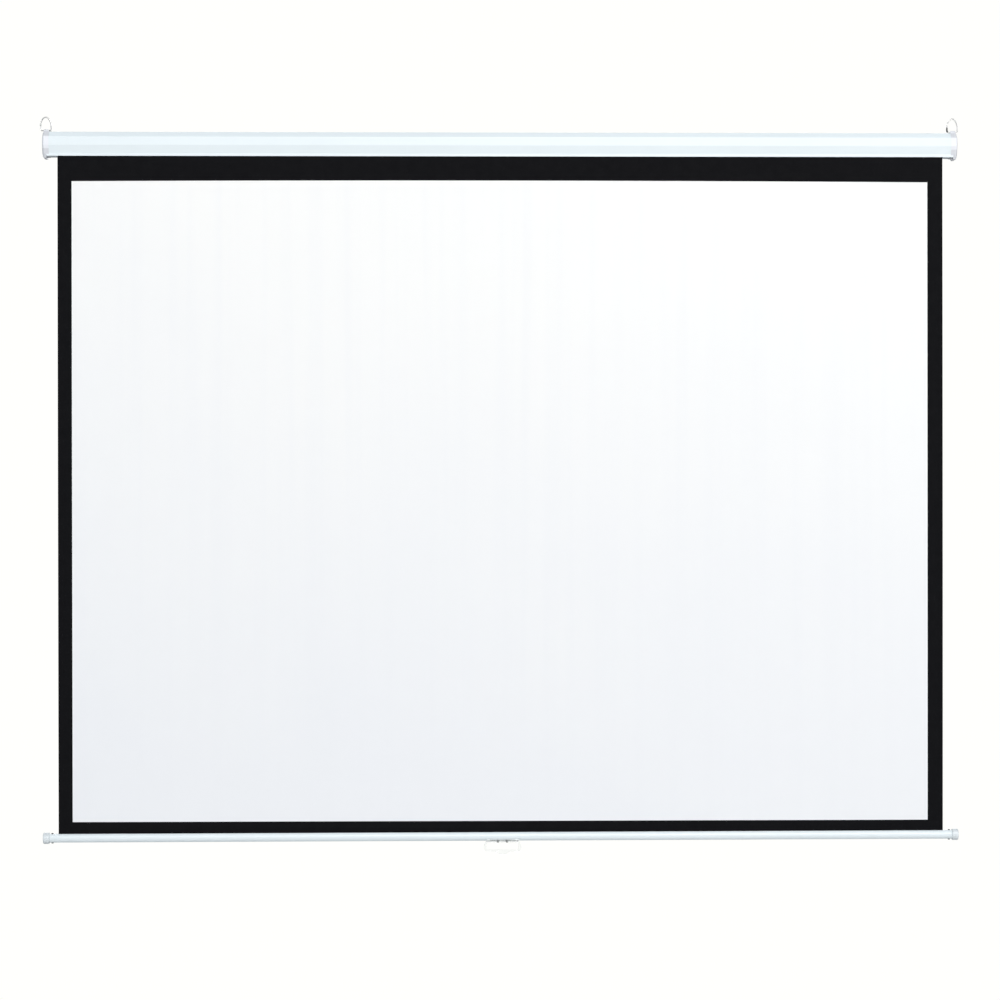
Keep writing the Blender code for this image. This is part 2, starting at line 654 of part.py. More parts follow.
def make_pawls(finishes, roller):
    """Two pawls half a turn apart, drawn lifted clear of the ratchet, each on its own pin."""
    lifted = pawl_angle(NOSE_CLEAR_RADIUS) - math.pi / 2
    outline = turned_line(pawl_outline(), lifted)
    start = -PAWL_THICKNESS / 2
    pin_end = ROLLER_END_X - GAP - PAWL_MID_X
    pin_start = CUP_FLOOR_X - PIN_SEAT_DEPTH + GAP - PAWL_MID_X
    for letter, turn in (("a", 0), ("b", math.pi)):
        place = (PAWL_MID_X, -PAWL_PIVOT_RADIUS * math.sin(turn), PAWL_PIVOT_RADIUS * math.cos(turn))
        mesh = prism_x(outline, start, -start)
        pawl = add_object(f"pawl_{letter}", mesh, finishes["steel"], roller, place, (turn, 0, 0))
        combine(pawl, "DIFFERENCE", rod(PAWL_PIN_RADIUS + GAP, 2 * start, -2 * start), "pin_hole")
        pin = rod(PAWL_PIN_RADIUS, pin_start, pin_end, PIN_SIDES)
        add_object(f"pawl_pin_{letter}", pin, finishes["steel"], roller, place)


def make_ratchet(finishes, case_frame):
    """A wheel with two notches, each shaped to the pawl that drops into it."""
    wheel = rod(RATCHET_RADIUS, -RATCHET_THICKNESS / 2, RATCHET_THICKNESS / 2, ROUND_SIDES)
    ratchet = add_object("ratchet_wheel", wheel, finishes["zinc"], case_frame, (PAWL_MID_X, ROLLER_Y, 0))
    dropped = pawl_angle(NOSE_LOCKED_RADIUS) - math.pi / 2
    end = PAWL_ARM + PAWL_NOSE_RADIUS + 2 * GAP
    under_boss = -PAWL_BOSS_RADIUS - GAP
    under_nose = -PAWL_NOSE_RADIUS - GAP
    wedge = [Vector((0, under_boss)), Vector((end, under_nose)), Vector((end, RATCHET_RADIUS))]
    wedge.append(Vector((0, RATCHET_RADIUS)))
    pivot = Vector((0, PAWL_PIVOT_RADIUS))
    notch = [pivot + point for point in turned_line(wedge, dropped)]
    for number, turn in enumerate((0, math.pi)):
        tool = prism_x(notch, -RATCHET_THICKNESS, RATCHET_THICKNESS)
        combine(ratchet, "DIFFERENCE", tool, f"notch_{number}", (0, 0, 0), (turn, 0, 0))
    key = double_d(SPINDLE_RADIUS + GAP, SPINDLE_HALF_FLAT + GAP)
    combine(ratchet, "DIFFERENCE", prism_x(key, -RATCHET_THICKNESS, RATCHET_THICKNESS), "bore")


def make_lock_plug(finishes, roller):
    """The right end of the roller: a cup for the pawls and a hub for the spring, closed by a cover."""
    bore = SPINDLE_RADIUS + GAP
    profile = [
        (ROLLER_END_X, CUP_RADIUS),
        (ROLLER_END_X, ROLLER_RADIUS - GAP),
        (ROLLER_END_X - END_FLANGE, ROLLER_RADIUS - GAP),
        (ROLLER_END_X - END_FLANGE, PLUG_RADIUS),
        (CUP_BACK_X, PLUG_RADIUS),
        (CUP_BACK_X, SPRING_HUB_RADIUS),
        (CUP_BACK_X - SPRING_HUB_LENGTH, SPRING_HUB_RADIUS),
        (CUP_BACK_X - SPRING_HUB_LENGTH, bore),
        (CUP_FLOOR_X, bore),
        (CUP_FLOOR_X, CUP_RADIUS),
    ]
    plug = add_object("lock_plug", turned(profile, ROUND_SIDES, closed=True), finishes["moulding"], roller)
    cover_start = ROLLER_END_X - GAP - COVER_THICKNESS
    cover_mesh = tube(bore, CUP_RADIUS - GAP, cover_start, cover_start + COVER_THICKNESS)
    cover = add_object("lock_cover", cover_mesh, finishes["zinc"], roller)
    for number, turn in enumerate((1, -1)):
        place = (CUP_FLOOR_X, 0, turn * PAWL_PIVOT_RADIUS)
        seat = rod(PAWL_PIN_RADIUS + GAP, -PIN_SEAT_DEPTH, PIN_SEAT_DEPTH)
        combine(plug, "DIFFERENCE", seat, f"pin_seat_{number}", place)
        hole = rod(PAWL_PIN_RADIUS + GAP, -COVER_THICKNESS, 2 * COVER_THICKNESS)
        combine(cover, "DIFFERENCE", hole, f"pin_hole_{number}", (cover_start, 0, turn * PAWL_PIVOT_RADIUS))


def make_spindle(finishes, case_frame):
    """The fixed spindle, keyed into the right cap, and the hub that anchors the spring's still end."""
    section = double_d(SPINDLE_RADIUS, SPINDLE_HALF_FLAT)
    spindle = prism_x(section, SPINDLE_INNER_X, SPINDLE_OUTER_X)
    add_object("spindle", spindle, finishes["steel"], case_frame, (0, ROLLER_Y, 0))
    rim_x = ANCHOR_X - GAP
    profile = [
        (rim_x - ANCHOR_RIM_LENGTH, 0),
        (rim_x - ANCHOR_RIM_LENGTH, ANCHOR_RIM_RADIUS),
        (rim_x, ANCHOR_RIM_RADIUS),
        (rim_x, SPRING_HUB_RADIUS),
        (rim_x + SPRING_HUB_LENGTH, SPRING_HUB_RADIUS),
        (rim_x + SPRING_HUB_LENGTH, 0),
    ]
    mesh = turned(profile, ROUND_SIDES, closed=False)
    anchor = add_object("spring_anchor", mesh, finishes["bush"], case_frame, (0, ROLLER_Y, 0))
    key = double_d(SPINDLE_RADIUS + GAP, SPINDLE_HALF_FLAT + GAP)
    tool = prism_x(key, rim_x - 2 * ANCHOR_RIM_LENGTH, rim_x + 2 * SPRING_HUB_LENGTH)
    combine(anchor, "DIFFERENCE", tool, "key")


def make_spring(finish, roller):
    """The torsion spring, one wire wound from the lock plug's hub to the anchor's."""
    count = SPRING_TURNS * SPRING_POINTS_PER_TURN
    pitch = (SPRING_LENGTH - 2 * SPRING_WIRE_RADIUS) / SPRING_TURNS
    points = []
    for step in range(count + 1):
        turn = step / SPRING_POINTS_PER_TURN
        angle = 2 * math.pi * turn
        across = SPRING_RADIUS * math.cos(angle)
        points.append(Vector((SPRING_START_X - turn * pitch, across, SPRING_RADIUS * math.sin(angle))))
    data = bpy.data.curves.new("torsion_spring", "CURVE")
    data.dimensions = "3D"
    data.bevel_depth = SPRING_WIRE_RADIUS
    data.bevel_resolution = 1
    data.use_fill_caps = True
    line = data.splines.new("POLY")
    line.points.add(count)
    for node, point in zip(line.points, points):
        node.co = (*point, 1)
    line.use_smooth = True
    data.materials.append(finish)
    spring = bpy.data.objects.new("torsion_spring", data)
    bpy.context.scene.collection.objects.link(spring)
    spring.parent = roller
    near = min(
        (points[index] - points[index + SPRING_POINTS_PER_TURN + shift]).length
        for index in range(count - SPRING_POINTS_PER_TURN)
        for shift in (-1, 0, 1)
        if index + SPRING_POINTS_PER_TURN + shift <= count
    )
    print(f"torsion spring, least gap between turns: {(near - 2 * SPRING_WIRE_RADIUS) * 1000:.2f} mm")


def make_hem(finishes, bar):
    """The fabric's foot: down through the bar's slot and round a rod that is wider than the slot."""
    loop_radius = HEM_ROD_RADIUS + GAP + FABRIC_THICKNESS / 2
    loop_outer = loop_radius + FABRIC_THICKNESS / 2
    loop_z = math.sqrt((BAR_BORE - GAP - loop_outer) ** 2 - loop_radius ** 2)
    top_z = SHEET_FOOT_Z - GAP - BAR_Z
    loop = arc((loop_radius, loop_z), loop_radius, 180, 180 + HEM_LAP_DEGREES, ROUND_SIDES)
    line = [Vector((0, top_z))] + loop
    one_side = beside(line, FABRIC_THICKNESS / 2, closed=False)
    other_side = beside(line, -FABRIC_THICKNESS / 2, closed=False)
    mesh = band_x(one_side, other_side, -FABRIC_WIDTH / 2, FABRIC_WIDTH / 2)
    add_object("fabric_hem", mesh, finishes["black_fabric"], bar)
    hem_rod = rod(HEM_ROD_RADIUS, -FABRIC_WIDTH / 2, FABRIC_WIDTH / 2)
    add_object("hem_rod", hem_rod, finishes["bush"], bar, (0, loop_radius, loop_z))


def make_bar_tube(finishes, bar):
    """A round tube with a slot along its top and screw holes along its foot."""
    lean = math.degrees(math.asin(BAR_SLOT / 2 / BAR_RADIUS))
    outer = arc((0, 0), BAR_RADIUS, 90 + lean, 450 - lean, ROUND_SIDES)
    inner = arc((0, 0), BAR_BORE, 90 + lean, 450 - lean, ROUND_SIDES)
    half = BAR_CAP_SEAT_X - GAP
    tube_piece = add_object("bar_tube", band_x(outer, inner, -half, half), finishes["white_metal"], bar)
    places = [side * distance for side in (-1, 1) for distance in (bar_screw_x(), HANDLE_SCREW_SPACING / 2)]
    for number, place in enumerate(places):
        hole = rod(SCREW_SHANK_RADIUS + GAP, -2 * BAR_WALL, 2 * BAR_WALL)
        combine(tube_piece, "DIFFERENCE", hole, f"hole_{number}", (place, 0, -BAR_RADIUS), UPRIGHT)


def bar_screw_x():
    return BAR_CAP_SEAT_X - BAR_SCREW_FROM_CAP


def make_bar_cap(name, side, finishes, bar):
    """A round cap with a softened rim, on a plug that fits the tube."""
    edge = BAR_CAP_EDGE
    profile = [(-BAR_PLUG_LENGTH, 0), (-BAR_PLUG_LENGTH, BAR_BORE - GAP), (0, BAR_BORE - GAP)]
    inner_edge = arc((edge / 2, BAR_CAP_RADIUS - edge / 2), edge / 2, 180, 90, BEND_STEPS)
    outer_edge = arc((BAR_CAP_FLANGE - edge, BAR_CAP_RADIUS - edge), edge, 90, 0, BEND_STEPS + 1)
    profile += [tuple(point) for point in inner_edge + outer_edge]
    profile += [(BAR_CAP_FLANGE, 0)]
    mesh = turned([(side * x, radius) for x, radius in profile], ROUND_SIDES, closed=False)
    cap = add_object(name, mesh, finishes["white_plastic"], bar, (side * BAR_CAP_SEAT_X, 0, 0))
    for number, level in enumerate((1, -1)):
        drill = rod(SCREW_SHANK_RADIUS + GAP, -SCREW_LENGTH, SCREW_LENGTH)
        place = (-side * BAR_SCREW_FROM_CAP, 0, level * (BAR_RADIUS + GAP))
        combine(cap, "DIFFERENCE", drill, f"drill_{number}", place, UPRIGHT)


def make_handle(finishes, bar):
    """A clear moulded pull: a saddle under the bar with a finger loop below it, and two screws."""
    top = -SADDLE_BORE - SADDLE_THICKNESS / 2
    foot = -BAR_RADIUS - HANDLE_DROP
    lobe = -BAR_RADIUS - HANDLE_LOBE_DROP
    half = [
        (HANDLE_TOP_HALF, top),
        (HANDLE_HALF_WIDTH, (top + foot) / 2),
        (HANDLE_HALF_WIDTH - HANDLE_EDGE, (top + 3 * foot) / 4),
        (HANDLE_HALF_WIDTH - HANDLE_SIDE, foot),
        (HANDLE_LOBE_FOOT, foot),
        (HANDLE_LOBE_HALF, lobe),
    ]
    outline = [Vector(p) for p in half] + [Vector((-x, z)) for x, z in reversed(half)]
    outline = rounded(outline, HANDLE_CORNER_RADIUS, BEND_STEPS, closed=True)
    mesh = prism_y(outline, -HANDLE_THICKNESS / 2, HANDLE_THICKNESS / 2)
    handle = add_object("pull_handle", mesh, finishes["clear_plastic"], bar)
    roof = -SADDLE_BORE - SADDLE_THICKNESS - HANDLE_WEB
    floor = foot + HANDLE_GRIP
    wide = HANDLE_HALF_WIDTH - HANDLE_SIDE
    loop = [Vector(p) for p in ((wide, roof), (wide, floor), (-wide, floor), (-wide, roof))]
    loop = rounded(loop, HANDLE_CORNER_RADIUS, BEND_STEPS, closed=True)
    tool = prism_y(loop, -HANDLE_THICKNESS, HANDLE_THICKNESS)
    combine(handle, "DIFFERENCE", tool, "finger_loop")
    soften = handle.modifiers.new("softened_edges", "BEVEL")
    soften.width = HANDLE_EDGE
    soften.segments = 2
    soften.limit_method = "ANGLE"
    soften.angle_limit = math.radians(SOFTENED_DEGREES)
    swing = SADDLE_HALF_DEGREES
    inner = arc((0, 0), SADDLE_BORE, 270 - swing, 270 + swing, SADDLE_STEPS)
    outer = arc((0, 0), SADDLE_BORE + SADDLE_THICKNESS, 270 - swing, 270 + swing, SADDLE_STEPS)
    combine(handle, "UNION", band_x(inner, outer, -SADDLE_LENGTH / 2, SADDLE_LENGTH / 2), "saddle")
    seat_z = -SADDLE_BORE - SADDLE_THICKNESS
    for number, side in enumerate((-1, 1)):
        place = (side * HANDLE_SCREW_SPACING / 2, 0, seat_z)
        shank = SCREW_SHANK_RADIUS + GAP
        head = SCREW_HEAD_RADIUS + GAP
        reach = SCREW_LENGTH / 2
        shank_hole = [(-SCREW_LENGTH, 0), (-SCREW_LENGTH, shank), (0, shank)]
        head_hole = [(0, head), (reach, head), (reach, 0)]
        tool = turned(shank_hole + head_hole, SMALL_SIDES, closed=False)
        combine(handle, "DIFFERENCE", tool, f"screw_hole_{number}", place, UPRIGHT)
        name = ("left", "right")[number]
        make_screw(f"handle_screw_{name}", finishes["dark_steel"], bar, (place[0], 0, seat_z - GAP), False)


def make_finishes():
    return {
        "white_metal": material("white_painted_steel", (0.86, 0.90, 0.91), 0.35),
        "white_plastic": material("white_moulded_plastic", (0.84, 0.85, 0.89), 0.45),
        "white_fabric": material("matt_white_fabric", (0.90, 0.90, 0.90), 0.85),
        "black_fabric": material("matt_black_fabric", (0.012, 0.012, 0.014), 0.8),
        "clear_plastic": material("clear_plastic", (0.93, 0.95, 0.95), 0.12, alpha=0.35),
        "moulding": material("grey_moulded_plastic", (0.45, 0.46, 0.48), 0.5),
        "bush": material("natural_nylon", (0.80, 0.78, 0.70), 0.45),
        "zinc": material("zinc_plated_steel", (0.60, 0.60, 0.58), 0.35, metallic=1.0),
        "steel": material("bright_steel", (0.55, 0.55, 0.55), 0.3, metallic=1.0),
        "roller_steel": material("galvanised_steel", (0.62, 0.63, 0.64), 0.4, metallic=1.0),
        "dark_steel": material("dark_screw_steel", (0.06, 0.065, 0.06), 0.4, metallic=0.8),
    }


def main():
    clear_scene()
    finishes = make_finishes()
    case_frame = axis_empty("case_frame", (0, 0, 0))
    roller = axis_empty("roller_axis", (0, ROLLER_Y, 0))
    bar = axis_empty("pull_bar_axis", (0, FABRIC_Y, BAR_Z))

    make_case(finishes["white_metal"], case_frame)
    pin_socket = arc((0, 0), IDLE_PIN_RADIUS + GAP, 0, 360, SMALL_SIDES)[:-1]
    spindle_socket = double_d(SPINDLE_RADIUS + GAP, SPINDLE_HALF_FLAT + GAP)
    make_end_cap("end_cap_left", -1, pin_socket, finishes["white_plastic"], case_frame)
    make_end_cap("end_cap_right", 1, spindle_socket, finishes["white_plastic"], case_frame)
    for word, side in (("left", -1), ("right", 1)):
        make_ring(f"hanging_ring_{word}", side, finishes["steel"], case_frame)
        for number, depth in enumerate(CASE_SCREW_DEPTHS):
            place = (side * case_screw_x(), -depth, HALF_HEIGHT + GAP)
            row = ("rear", "front")[number]
            make_screw(f"case_screw_{word}_{row}", finishes["zinc"], case_frame, place, True)

    roller_mesh = tube(ROLLER_BORE, ROLLER_RADIUS, -ROLLER_HALF, ROLLER_HALF)
    add_object("roller_tube", roller_mesh, finishes["roller_steel"], roller)
    make_wound_fabric(finishes["black_fabric"], roller)
    make_idle_end(finishes, roller, case_frame)
    make_lock_plug(finishes, roller)
    make_pawls(finishes, roller)
    make_ratchet(finishes, case_frame)
    make_spindle(finishes, case_frame)
    make_spring(finishes["steel"], roller)

    make_screen_fabric(finishes["white_fabric"], case_frame)
    make_hem(finishes, bar)
    make_bar_tube(finishes, bar)
    for word, side in (("left", -1), ("right", 1)):
        make_bar_cap(f"bar_cap_{word}", side, finishes, bar)
        for row, level in (("top", 1), ("under", -1)):
            place = (side * bar_screw_x(), 0, level * (BAR_RADIUS + GAP))
            make_screw(f"bar_screw_{word}_{row}", finishes["dark_steel"], bar, place, level > 0)
    make_handle(finishes, bar)


main()
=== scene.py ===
"""The finished look of a pull-down projector screen, built around its fixed CAD parts.

Metres, +X to the viewer's right, +Y towards the wall, +Z up. Every new piece takes its place from the
boxes of the CAD nodes, and its own place is in its mesh.
"""

import math

import bpy
from bpy.props import FloatProperty, FloatVectorProperty, IntProperty, PointerProperty
from mathutils import Matrix, Vector


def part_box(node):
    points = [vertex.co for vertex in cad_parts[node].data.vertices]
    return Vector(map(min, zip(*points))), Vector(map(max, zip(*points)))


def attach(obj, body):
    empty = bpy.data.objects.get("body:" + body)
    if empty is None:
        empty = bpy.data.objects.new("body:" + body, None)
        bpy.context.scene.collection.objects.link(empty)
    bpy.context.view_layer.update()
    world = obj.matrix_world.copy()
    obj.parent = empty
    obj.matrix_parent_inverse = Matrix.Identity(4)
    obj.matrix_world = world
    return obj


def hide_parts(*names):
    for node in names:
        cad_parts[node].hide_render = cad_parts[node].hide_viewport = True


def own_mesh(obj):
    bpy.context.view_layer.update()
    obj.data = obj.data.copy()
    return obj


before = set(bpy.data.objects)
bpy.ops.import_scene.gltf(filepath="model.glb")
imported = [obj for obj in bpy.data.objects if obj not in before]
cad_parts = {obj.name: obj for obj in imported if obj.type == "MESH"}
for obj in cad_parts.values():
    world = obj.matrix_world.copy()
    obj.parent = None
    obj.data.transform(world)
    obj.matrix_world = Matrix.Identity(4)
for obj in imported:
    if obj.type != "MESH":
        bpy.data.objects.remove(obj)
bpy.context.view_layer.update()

bl_info = {
    "name": "Pull-down Projector Screen",
    "version": (1, 0, 0),
    "blender": (4, 5, 0),
    "location": "View3D > Sidebar > Pull Screen",
    "description": "Dresses the packed parts of a pull-down projector screen with cloth, metal and plastic",
    "category": "Object",
}

SIDES = ("left", "right")
EVEN = (1, 1, 1)

# Steps of round forms, and the limits that tests of a mesh use
CORNER_STEPS = 8
PEG_SIDES = 32
TINY = 1e-9
NEARLY = 0.99
SHARP_EDGE = math.radians(60)

# Numbers that Blender gives its nodes: the colour sockets of a mix, and the wave texture's own pace
MIX_COLOURS = (6, 7)
MIX_RESULT = 2
WAVE_RADIANS = 20


def centre_of(node):
    low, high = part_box(node)
    return (low + high) / 2


def size_of(node):
    low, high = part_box(node)
    return high - low


# Tools for meshes


def select_only(piece):
    bpy.ops.object.select_all(action="DESELECT")
    piece.select_set(True)
    bpy.context.view_layer.objects.active = piece


def created(name, operator, **settings):
    """What one of Blender's add operators makes, under its own name."""
    bpy.ops.object.select_all(action="DESELECT")
    operator(**settings)
    piece = bpy.context.object
    piece.name = name
    piece.data.name = name
    return piece


def settle(piece):
    """Put a piece's place, turn and size into its mesh."""
    select_only(piece)
    bpy.ops.object.transform_apply(location=True, rotation=True, scale=True)


def modify(piece, kind, **settings):
    """Add a modifier, set it and apply it."""
    select_only(piece)
    bpy.ops.object.modifier_add(type=kind)
    step = piece.modifiers[-1]
    for name, value in settings.items():
        setattr(step, name, value)
    bpy.ops.object.modifier_apply(modifier=step.name)


def pick(piece, kind, test):
    """Enter edit mode with only the faces or edges selected that pass a test."""
    select_only(piece)
    bpy.ops.object.mode_set(mode="EDIT")
    bpy.ops.mesh.select_mode(type=kind)
    bpy.ops.mesh.select_all(action="DESELECT")
    leave_edit()
    for element in piece.data.polygons if kind == "FACE" else piece.data.edges:
        element.select = test(element)
    bpy.ops.object.mode_set(mode="EDIT")


def pick_all(piece):
    select_only(piece)
    bpy.ops.object.mode_set(mode="EDIT")
    bpy.ops.mesh.select_all(action="SELECT")


def leave_edit():
    bpy.ops.object.mode_set(mode="OBJECT")


def faces_outwards(piece):
    pick_all(piece)
    bpy.ops.mesh.normals_make_consistent(inside=False)
    leave_edit()


def smooth(piece, sharpest=35):
    """Smooth shading over every edge that bends by no more than so many degrees."""
    select_only(piece)
    bpy.ops.object.shade_smooth_by_angle(angle=math.radians(sharpest))


def delete(piece):
    select_only(piece)
    bpy.ops.object.delete()


def copy_of(piece, name, matrix):
    """A copy with its own mesh, moved by a matrix that goes into the mesh."""
    twin = piece.copy()
    twin.data = piece.data.copy()
    twin.name = name
    twin.data.name = name
    twin.data.transform(matrix)
    bpy.context.collection.objects.link(twin)
    return twin


def evenly(start, end, step):
    """Places from start up to, but without, end, about a step apart."""
    count = max(1, round(abs(end - start) / step))
    return [start + (end - start) * index / count for index in range(count)]


def along(points):
    """How far each point lies from the first one, along the line through them all."""
    lengths = [0.0]
    for first, second in zip(points, points[1:]):
        lengths.append(lengths[-1] + (Vector(second) - Vector(first)).length)
    return lengths


def grid_along(name, stations, path):
    """A cloth grid with a column at each X and a row at each (y, z) of a path, unwrapped in metres."""
    columns = len(stations) - 1
    rows = len(path) - 1
    lengths = along(path)
    add = bpy.ops.mesh.primitive_grid_add
    piece = created(name, add, x_subdivisions=columns, y_subdivisions=rows, size=1)
    places = []
    for corner in piece.data.vertices:
        column = round((corner.co.x + 0.5) * columns)
        row = round((0.5 - corner.co.y) * rows)
        places.append((stations[column], -lengths[row]))
        corner.co = (stations[column], *path[row])
    unwrapped = piece.data.uv_layers.active.data
    for loop in piece.data.loops:
        unwrapped[loop.index].uv = places[loop.vertex_index]
    return piece, lengths[-1]


def wire(name, points, radius, closed, sides=5, ends=1.0):
    """A round wire along points, as a mesh. Its end sections are drawn in to the share given by ends."""
    piece = created(name, bpy.ops.curve.primitive_nurbs_path_add)
    data = piece.data
    data.splines.clear()
    data.dimensions = "3D"
    data.bevel_depth = radius
    data.bevel_resolution = sides
    data.use_fill_caps = not closed
    line = data.splines.new("POLY")
    line.points.add(len(points) - 1)
    for index, (node, point) in enumerate(zip(line.points, points)):
        node.co = (*point, 1)
        node.radius = ends if not closed and index in (0, len(points) - 1) else 1
    line.use_cyclic_u = closed
    line.use_smooth = True
    select_only(piece)
    bpy.ops.object.convert(target="MESH")
    settle(piece)
    return piece


def rounded(corners, radius):
    """A closed outline with each corner eased over a length either side of it."""
    eased = []
    for index, corner in enumerate(corners):
        here = Vector(corner)
        before = Vector(corners[index - 1]) - here
        after = Vector(corners[(index + 1) % len(corners)]) - here
        start = here + before.normalized() * min(radius, before.length / 2)
        end = here + after.normalized() * min(radius, after.length / 2)
        for step in range(CORNER_STEPS + 1):
            share = step / CORNER_STEPS
            eased.append(start * (1 - share) ** 2 + here * 2 * share * (1 - share) + end * share ** 2)
    return eased


def spaced(points, count):
    """Points the same distance apart round a closed outline."""
    ring = list(points) + [points[0]]
    lengths = along(ring)
    places = []
    leg = 0
    for index in range(count):
        goal = lengths[-1] * index / count
        while lengths[leg + 1] < goal:
            leg += 1
        share = (goal - lengths[leg]) / max(lengths[leg + 1] - lengths[leg], TINY)
        places.append(ring[leg].lerp(ring[leg + 1], share))
    return places


def flat_loop(name, outer, inner, middle, look):
    """An upright plate between two (x, z) outlines of as many points each.

    The back of its opening is cut lower at the foot, as a mould needs. All edges but the top are rounded.
    """
    count = len(outer)
    piece = created(name, bpy.ops.mesh.primitive_circle_add, vertices=count, radius=1)
    corners = piece.data.vertices
    for corner, (x, z) in zip(corners, outer):
        corner.co = (x, middle, z)
    pick_all(piece)
    bpy.ops.mesh.extrude_edges_move()
    leave_edit()
    for line in piece.data.edges:
        old, new = sorted(line.vertices)
        if old < count <= new:
            piece.data.vertices[new].co = (inner[old][0], middle, inner[old][1])
    modify(piece, "SOLIDIFY", thickness=look.thickness, offset=0.0)
    faces_outwards(piece)
    corners = piece.data.vertices
    is_outer = [corner.index % (2 * count) < count for corner in corners]
    is_back = [corner.co.y > middle for corner in corners]
    floor = min(z for _, z in inner)
    roof = max(z for _, z in inner)
    for corner in corners:
        if is_back[corner.index] and not is_outer[corner.index]:
            corner.co.z -= look.draft * (roof - corner.co.z) / (roof - floor)
    top = max(z for _, z in outer)
    roundness = piece.data.attributes.new("bevel_weight_edge", "FLOAT", "EDGE")
    for line in piece.data.edges:
        one, other = line.vertices
        follows = is_outer[one] == is_outer[other] and is_back[one] == is_back[other]
        if follows and min(corners[one].co.z, corners[other].co.z) < top - look.edge:
            roundness.data[line.index].value = 1.0 if is_outer[one] else look.edge / look.rim
    modify(piece, "BEVEL", width=look.rim, segments=4, limit_method="WEIGHT")
    return piece


def cut_with(piece, tool, operation="DIFFERENCE"):
    """Take a tool out of a piece, or melt it on, and remove the tool."""
    modify(piece, "BOOLEAN", operation=operation, solver="EXACT", object=tool)
    delete(tool)


def peg(name, radius, foot, top, centre):
    """An upright round peg between two heights."""
    place = (centre[0], centre[1], (foot + top) / 2)
    add = bpy.ops.mesh.primitive_cylinder_add
    piece = created(name, add, vertices=PEG_SIDES, radius=radius, depth=top - foot, location=place)
    settle(piece)
    return piece


def arc(centre, radius, start_degrees, end_degrees, steps):
    """Points of an arc in a plane, first and last included."""
    points = []
    for step in range(steps + 1):
        angle = math.radians(start_degrees + (end_degrees - start_degrees) * step / steps)
        points.append((centre[0] + radius * math.cos(angle), centre[1] + radius * math.sin(angle)))
    return points


# Tools for materials


class NodeTree:
    """The nodes of a material or a world under construction, with short calls for them."""

    def __init__(self, owner):
        owner.use_nodes = True
        self.tree = owner.node_tree

    def feed(self, socket, value):
        """Link another node's output to a socket, or put a plain value in it."""
        if isinstance(value, bpy.types.NodeSocket):
            self.tree.links.new(value, socket)
        else:
            socket.default_value = value

    def node(self, kind, inputs=None, **settings):
        made = self.tree.nodes.new(kind)
        for name, value in settings.items():
            setattr(made, name, value)
        for name, value in (inputs or {}).items():
            self.feed(made.inputs[name], value)
        return made

    def along_axis(self, vector, axis):
        return self.node("ShaderNodeSeparateXYZ", {"Vector": vector}).outputs[axis]

    def calculate(self, operation, first, second=0):
        return self.node("ShaderNodeMath", {0: first, 1: second}, operation=operation).outputs[0]

    def ramp(self, value, *stops):
        """A colour that follows a value through (place, colour) stops."""
        made = self.node("ShaderNodeValToRGB", {"Fac": value})
        band = made.color_ramp.elements
        while len(band) < len(stops):
            band.new(0.5)
        for element, (place, colour) in zip(band, stops):
            element.position = place
            element.color = (*colour, 1)
        return made.outputs["Color"]

    def blended(self, amount, first, second):
        """Two colours blended by an amount."""
        made = self.node("ShaderNodeMix", {"Factor": amount}, data_type="RGBA")
        for place, value in zip(MIX_COLOURS, (first, second)):
            from_node = isinstance(value, bpy.types.NodeSocket)
            self.feed(made.inputs[place], value if from_node else (*value, 1))
        return made.outputs[MIX_RESULT]


class Finish(NodeTree):
    """A material under construction, in metres of its object or of its unwrapping."""

    def __init__(self, name, coordinates="Object"):
        self.material = bpy.data.materials.new(name)
        super().__init__(self.material)
        self.shader = self.tree.nodes["Principled BSDF"]
        self.place = self.node("ShaderNodeTexCoord").outputs[coordinates]

    def stretched(self, scale):
        """The coordinates with each axis scaled, for grain that runs one way."""
        return self.node("ShaderNodeMapping", {"Vector": self.place, "Scale": scale}).outputs["Vector"]

    def noise(self, scale, detail, place=None):
        """Cloudy values from 0 to 1, mostly between 0.3 and 0.7."""
        inputs = {"Vector": place or self.place, "Scale": scale, "Detail": detail}
        return self.node("ShaderNodeTexNoise", inputs).outputs["Fac"]

    def cells(self, scale, output="Distance"):
        return self.node("ShaderNodeTexVoronoi", {"Vector": self.place, "Scale": scale}).outputs[output]

    def threads(self, pitch, direction):
        """Ridges one pitch apart, square to a direction."""
        wave = {"Vector": self.place, "Scale": 2 * math.pi / pitch / WAVE_RADIANS}
        return self.node("ShaderNodeTexWave", wave, bands_direction=direction).outputs["Fac"]

    def ranged(self, value, low, high, start=0.3, end=0.7):
        """A value that runs from low to high while another one runs from start to end."""
        inputs = {"Value": value, "From Min": start, "From Max": end, "To Min": low, "To Max": high}
        return self.node("ShaderNodeMapRange", inputs).outputs["Result"]

    def bump(self, height, depth, under=None):
        """A bump of so many metres, laid over another one if that is given."""
        inputs = {"Height": height, "Distance": depth}
        if under:
            inputs["Normal"] = under
        return self.node("ShaderNodeBump", inputs).outputs["Normal"]

    def set(self, **inputs):
        """Shader sockets, with underscores for spaces."""
        for name, value in inputs.items():
            self.feed(self.shader.inputs[name.replace("_", " ")], value)
        return self.material

    def clear_from_behind(self):
        """Nothing shows where a face is seen from its back."""
        back = self.node("ShaderNodeNewGeometry").outputs["Backfacing"]
        nothing = self.node("ShaderNodeBsdfTransparent").outputs["BSDF"]
        choice = self.node("ShaderNodeMixShader", {0: back, 1: self.shader.outputs["BSDF"], 2: nothing})
        self.feed(self.tree.nodes["Material Output"].inputs["Surface"], choice.outputs["Shader"])


def shade(colour, amount):
    return [channel * amount for channel in colour]


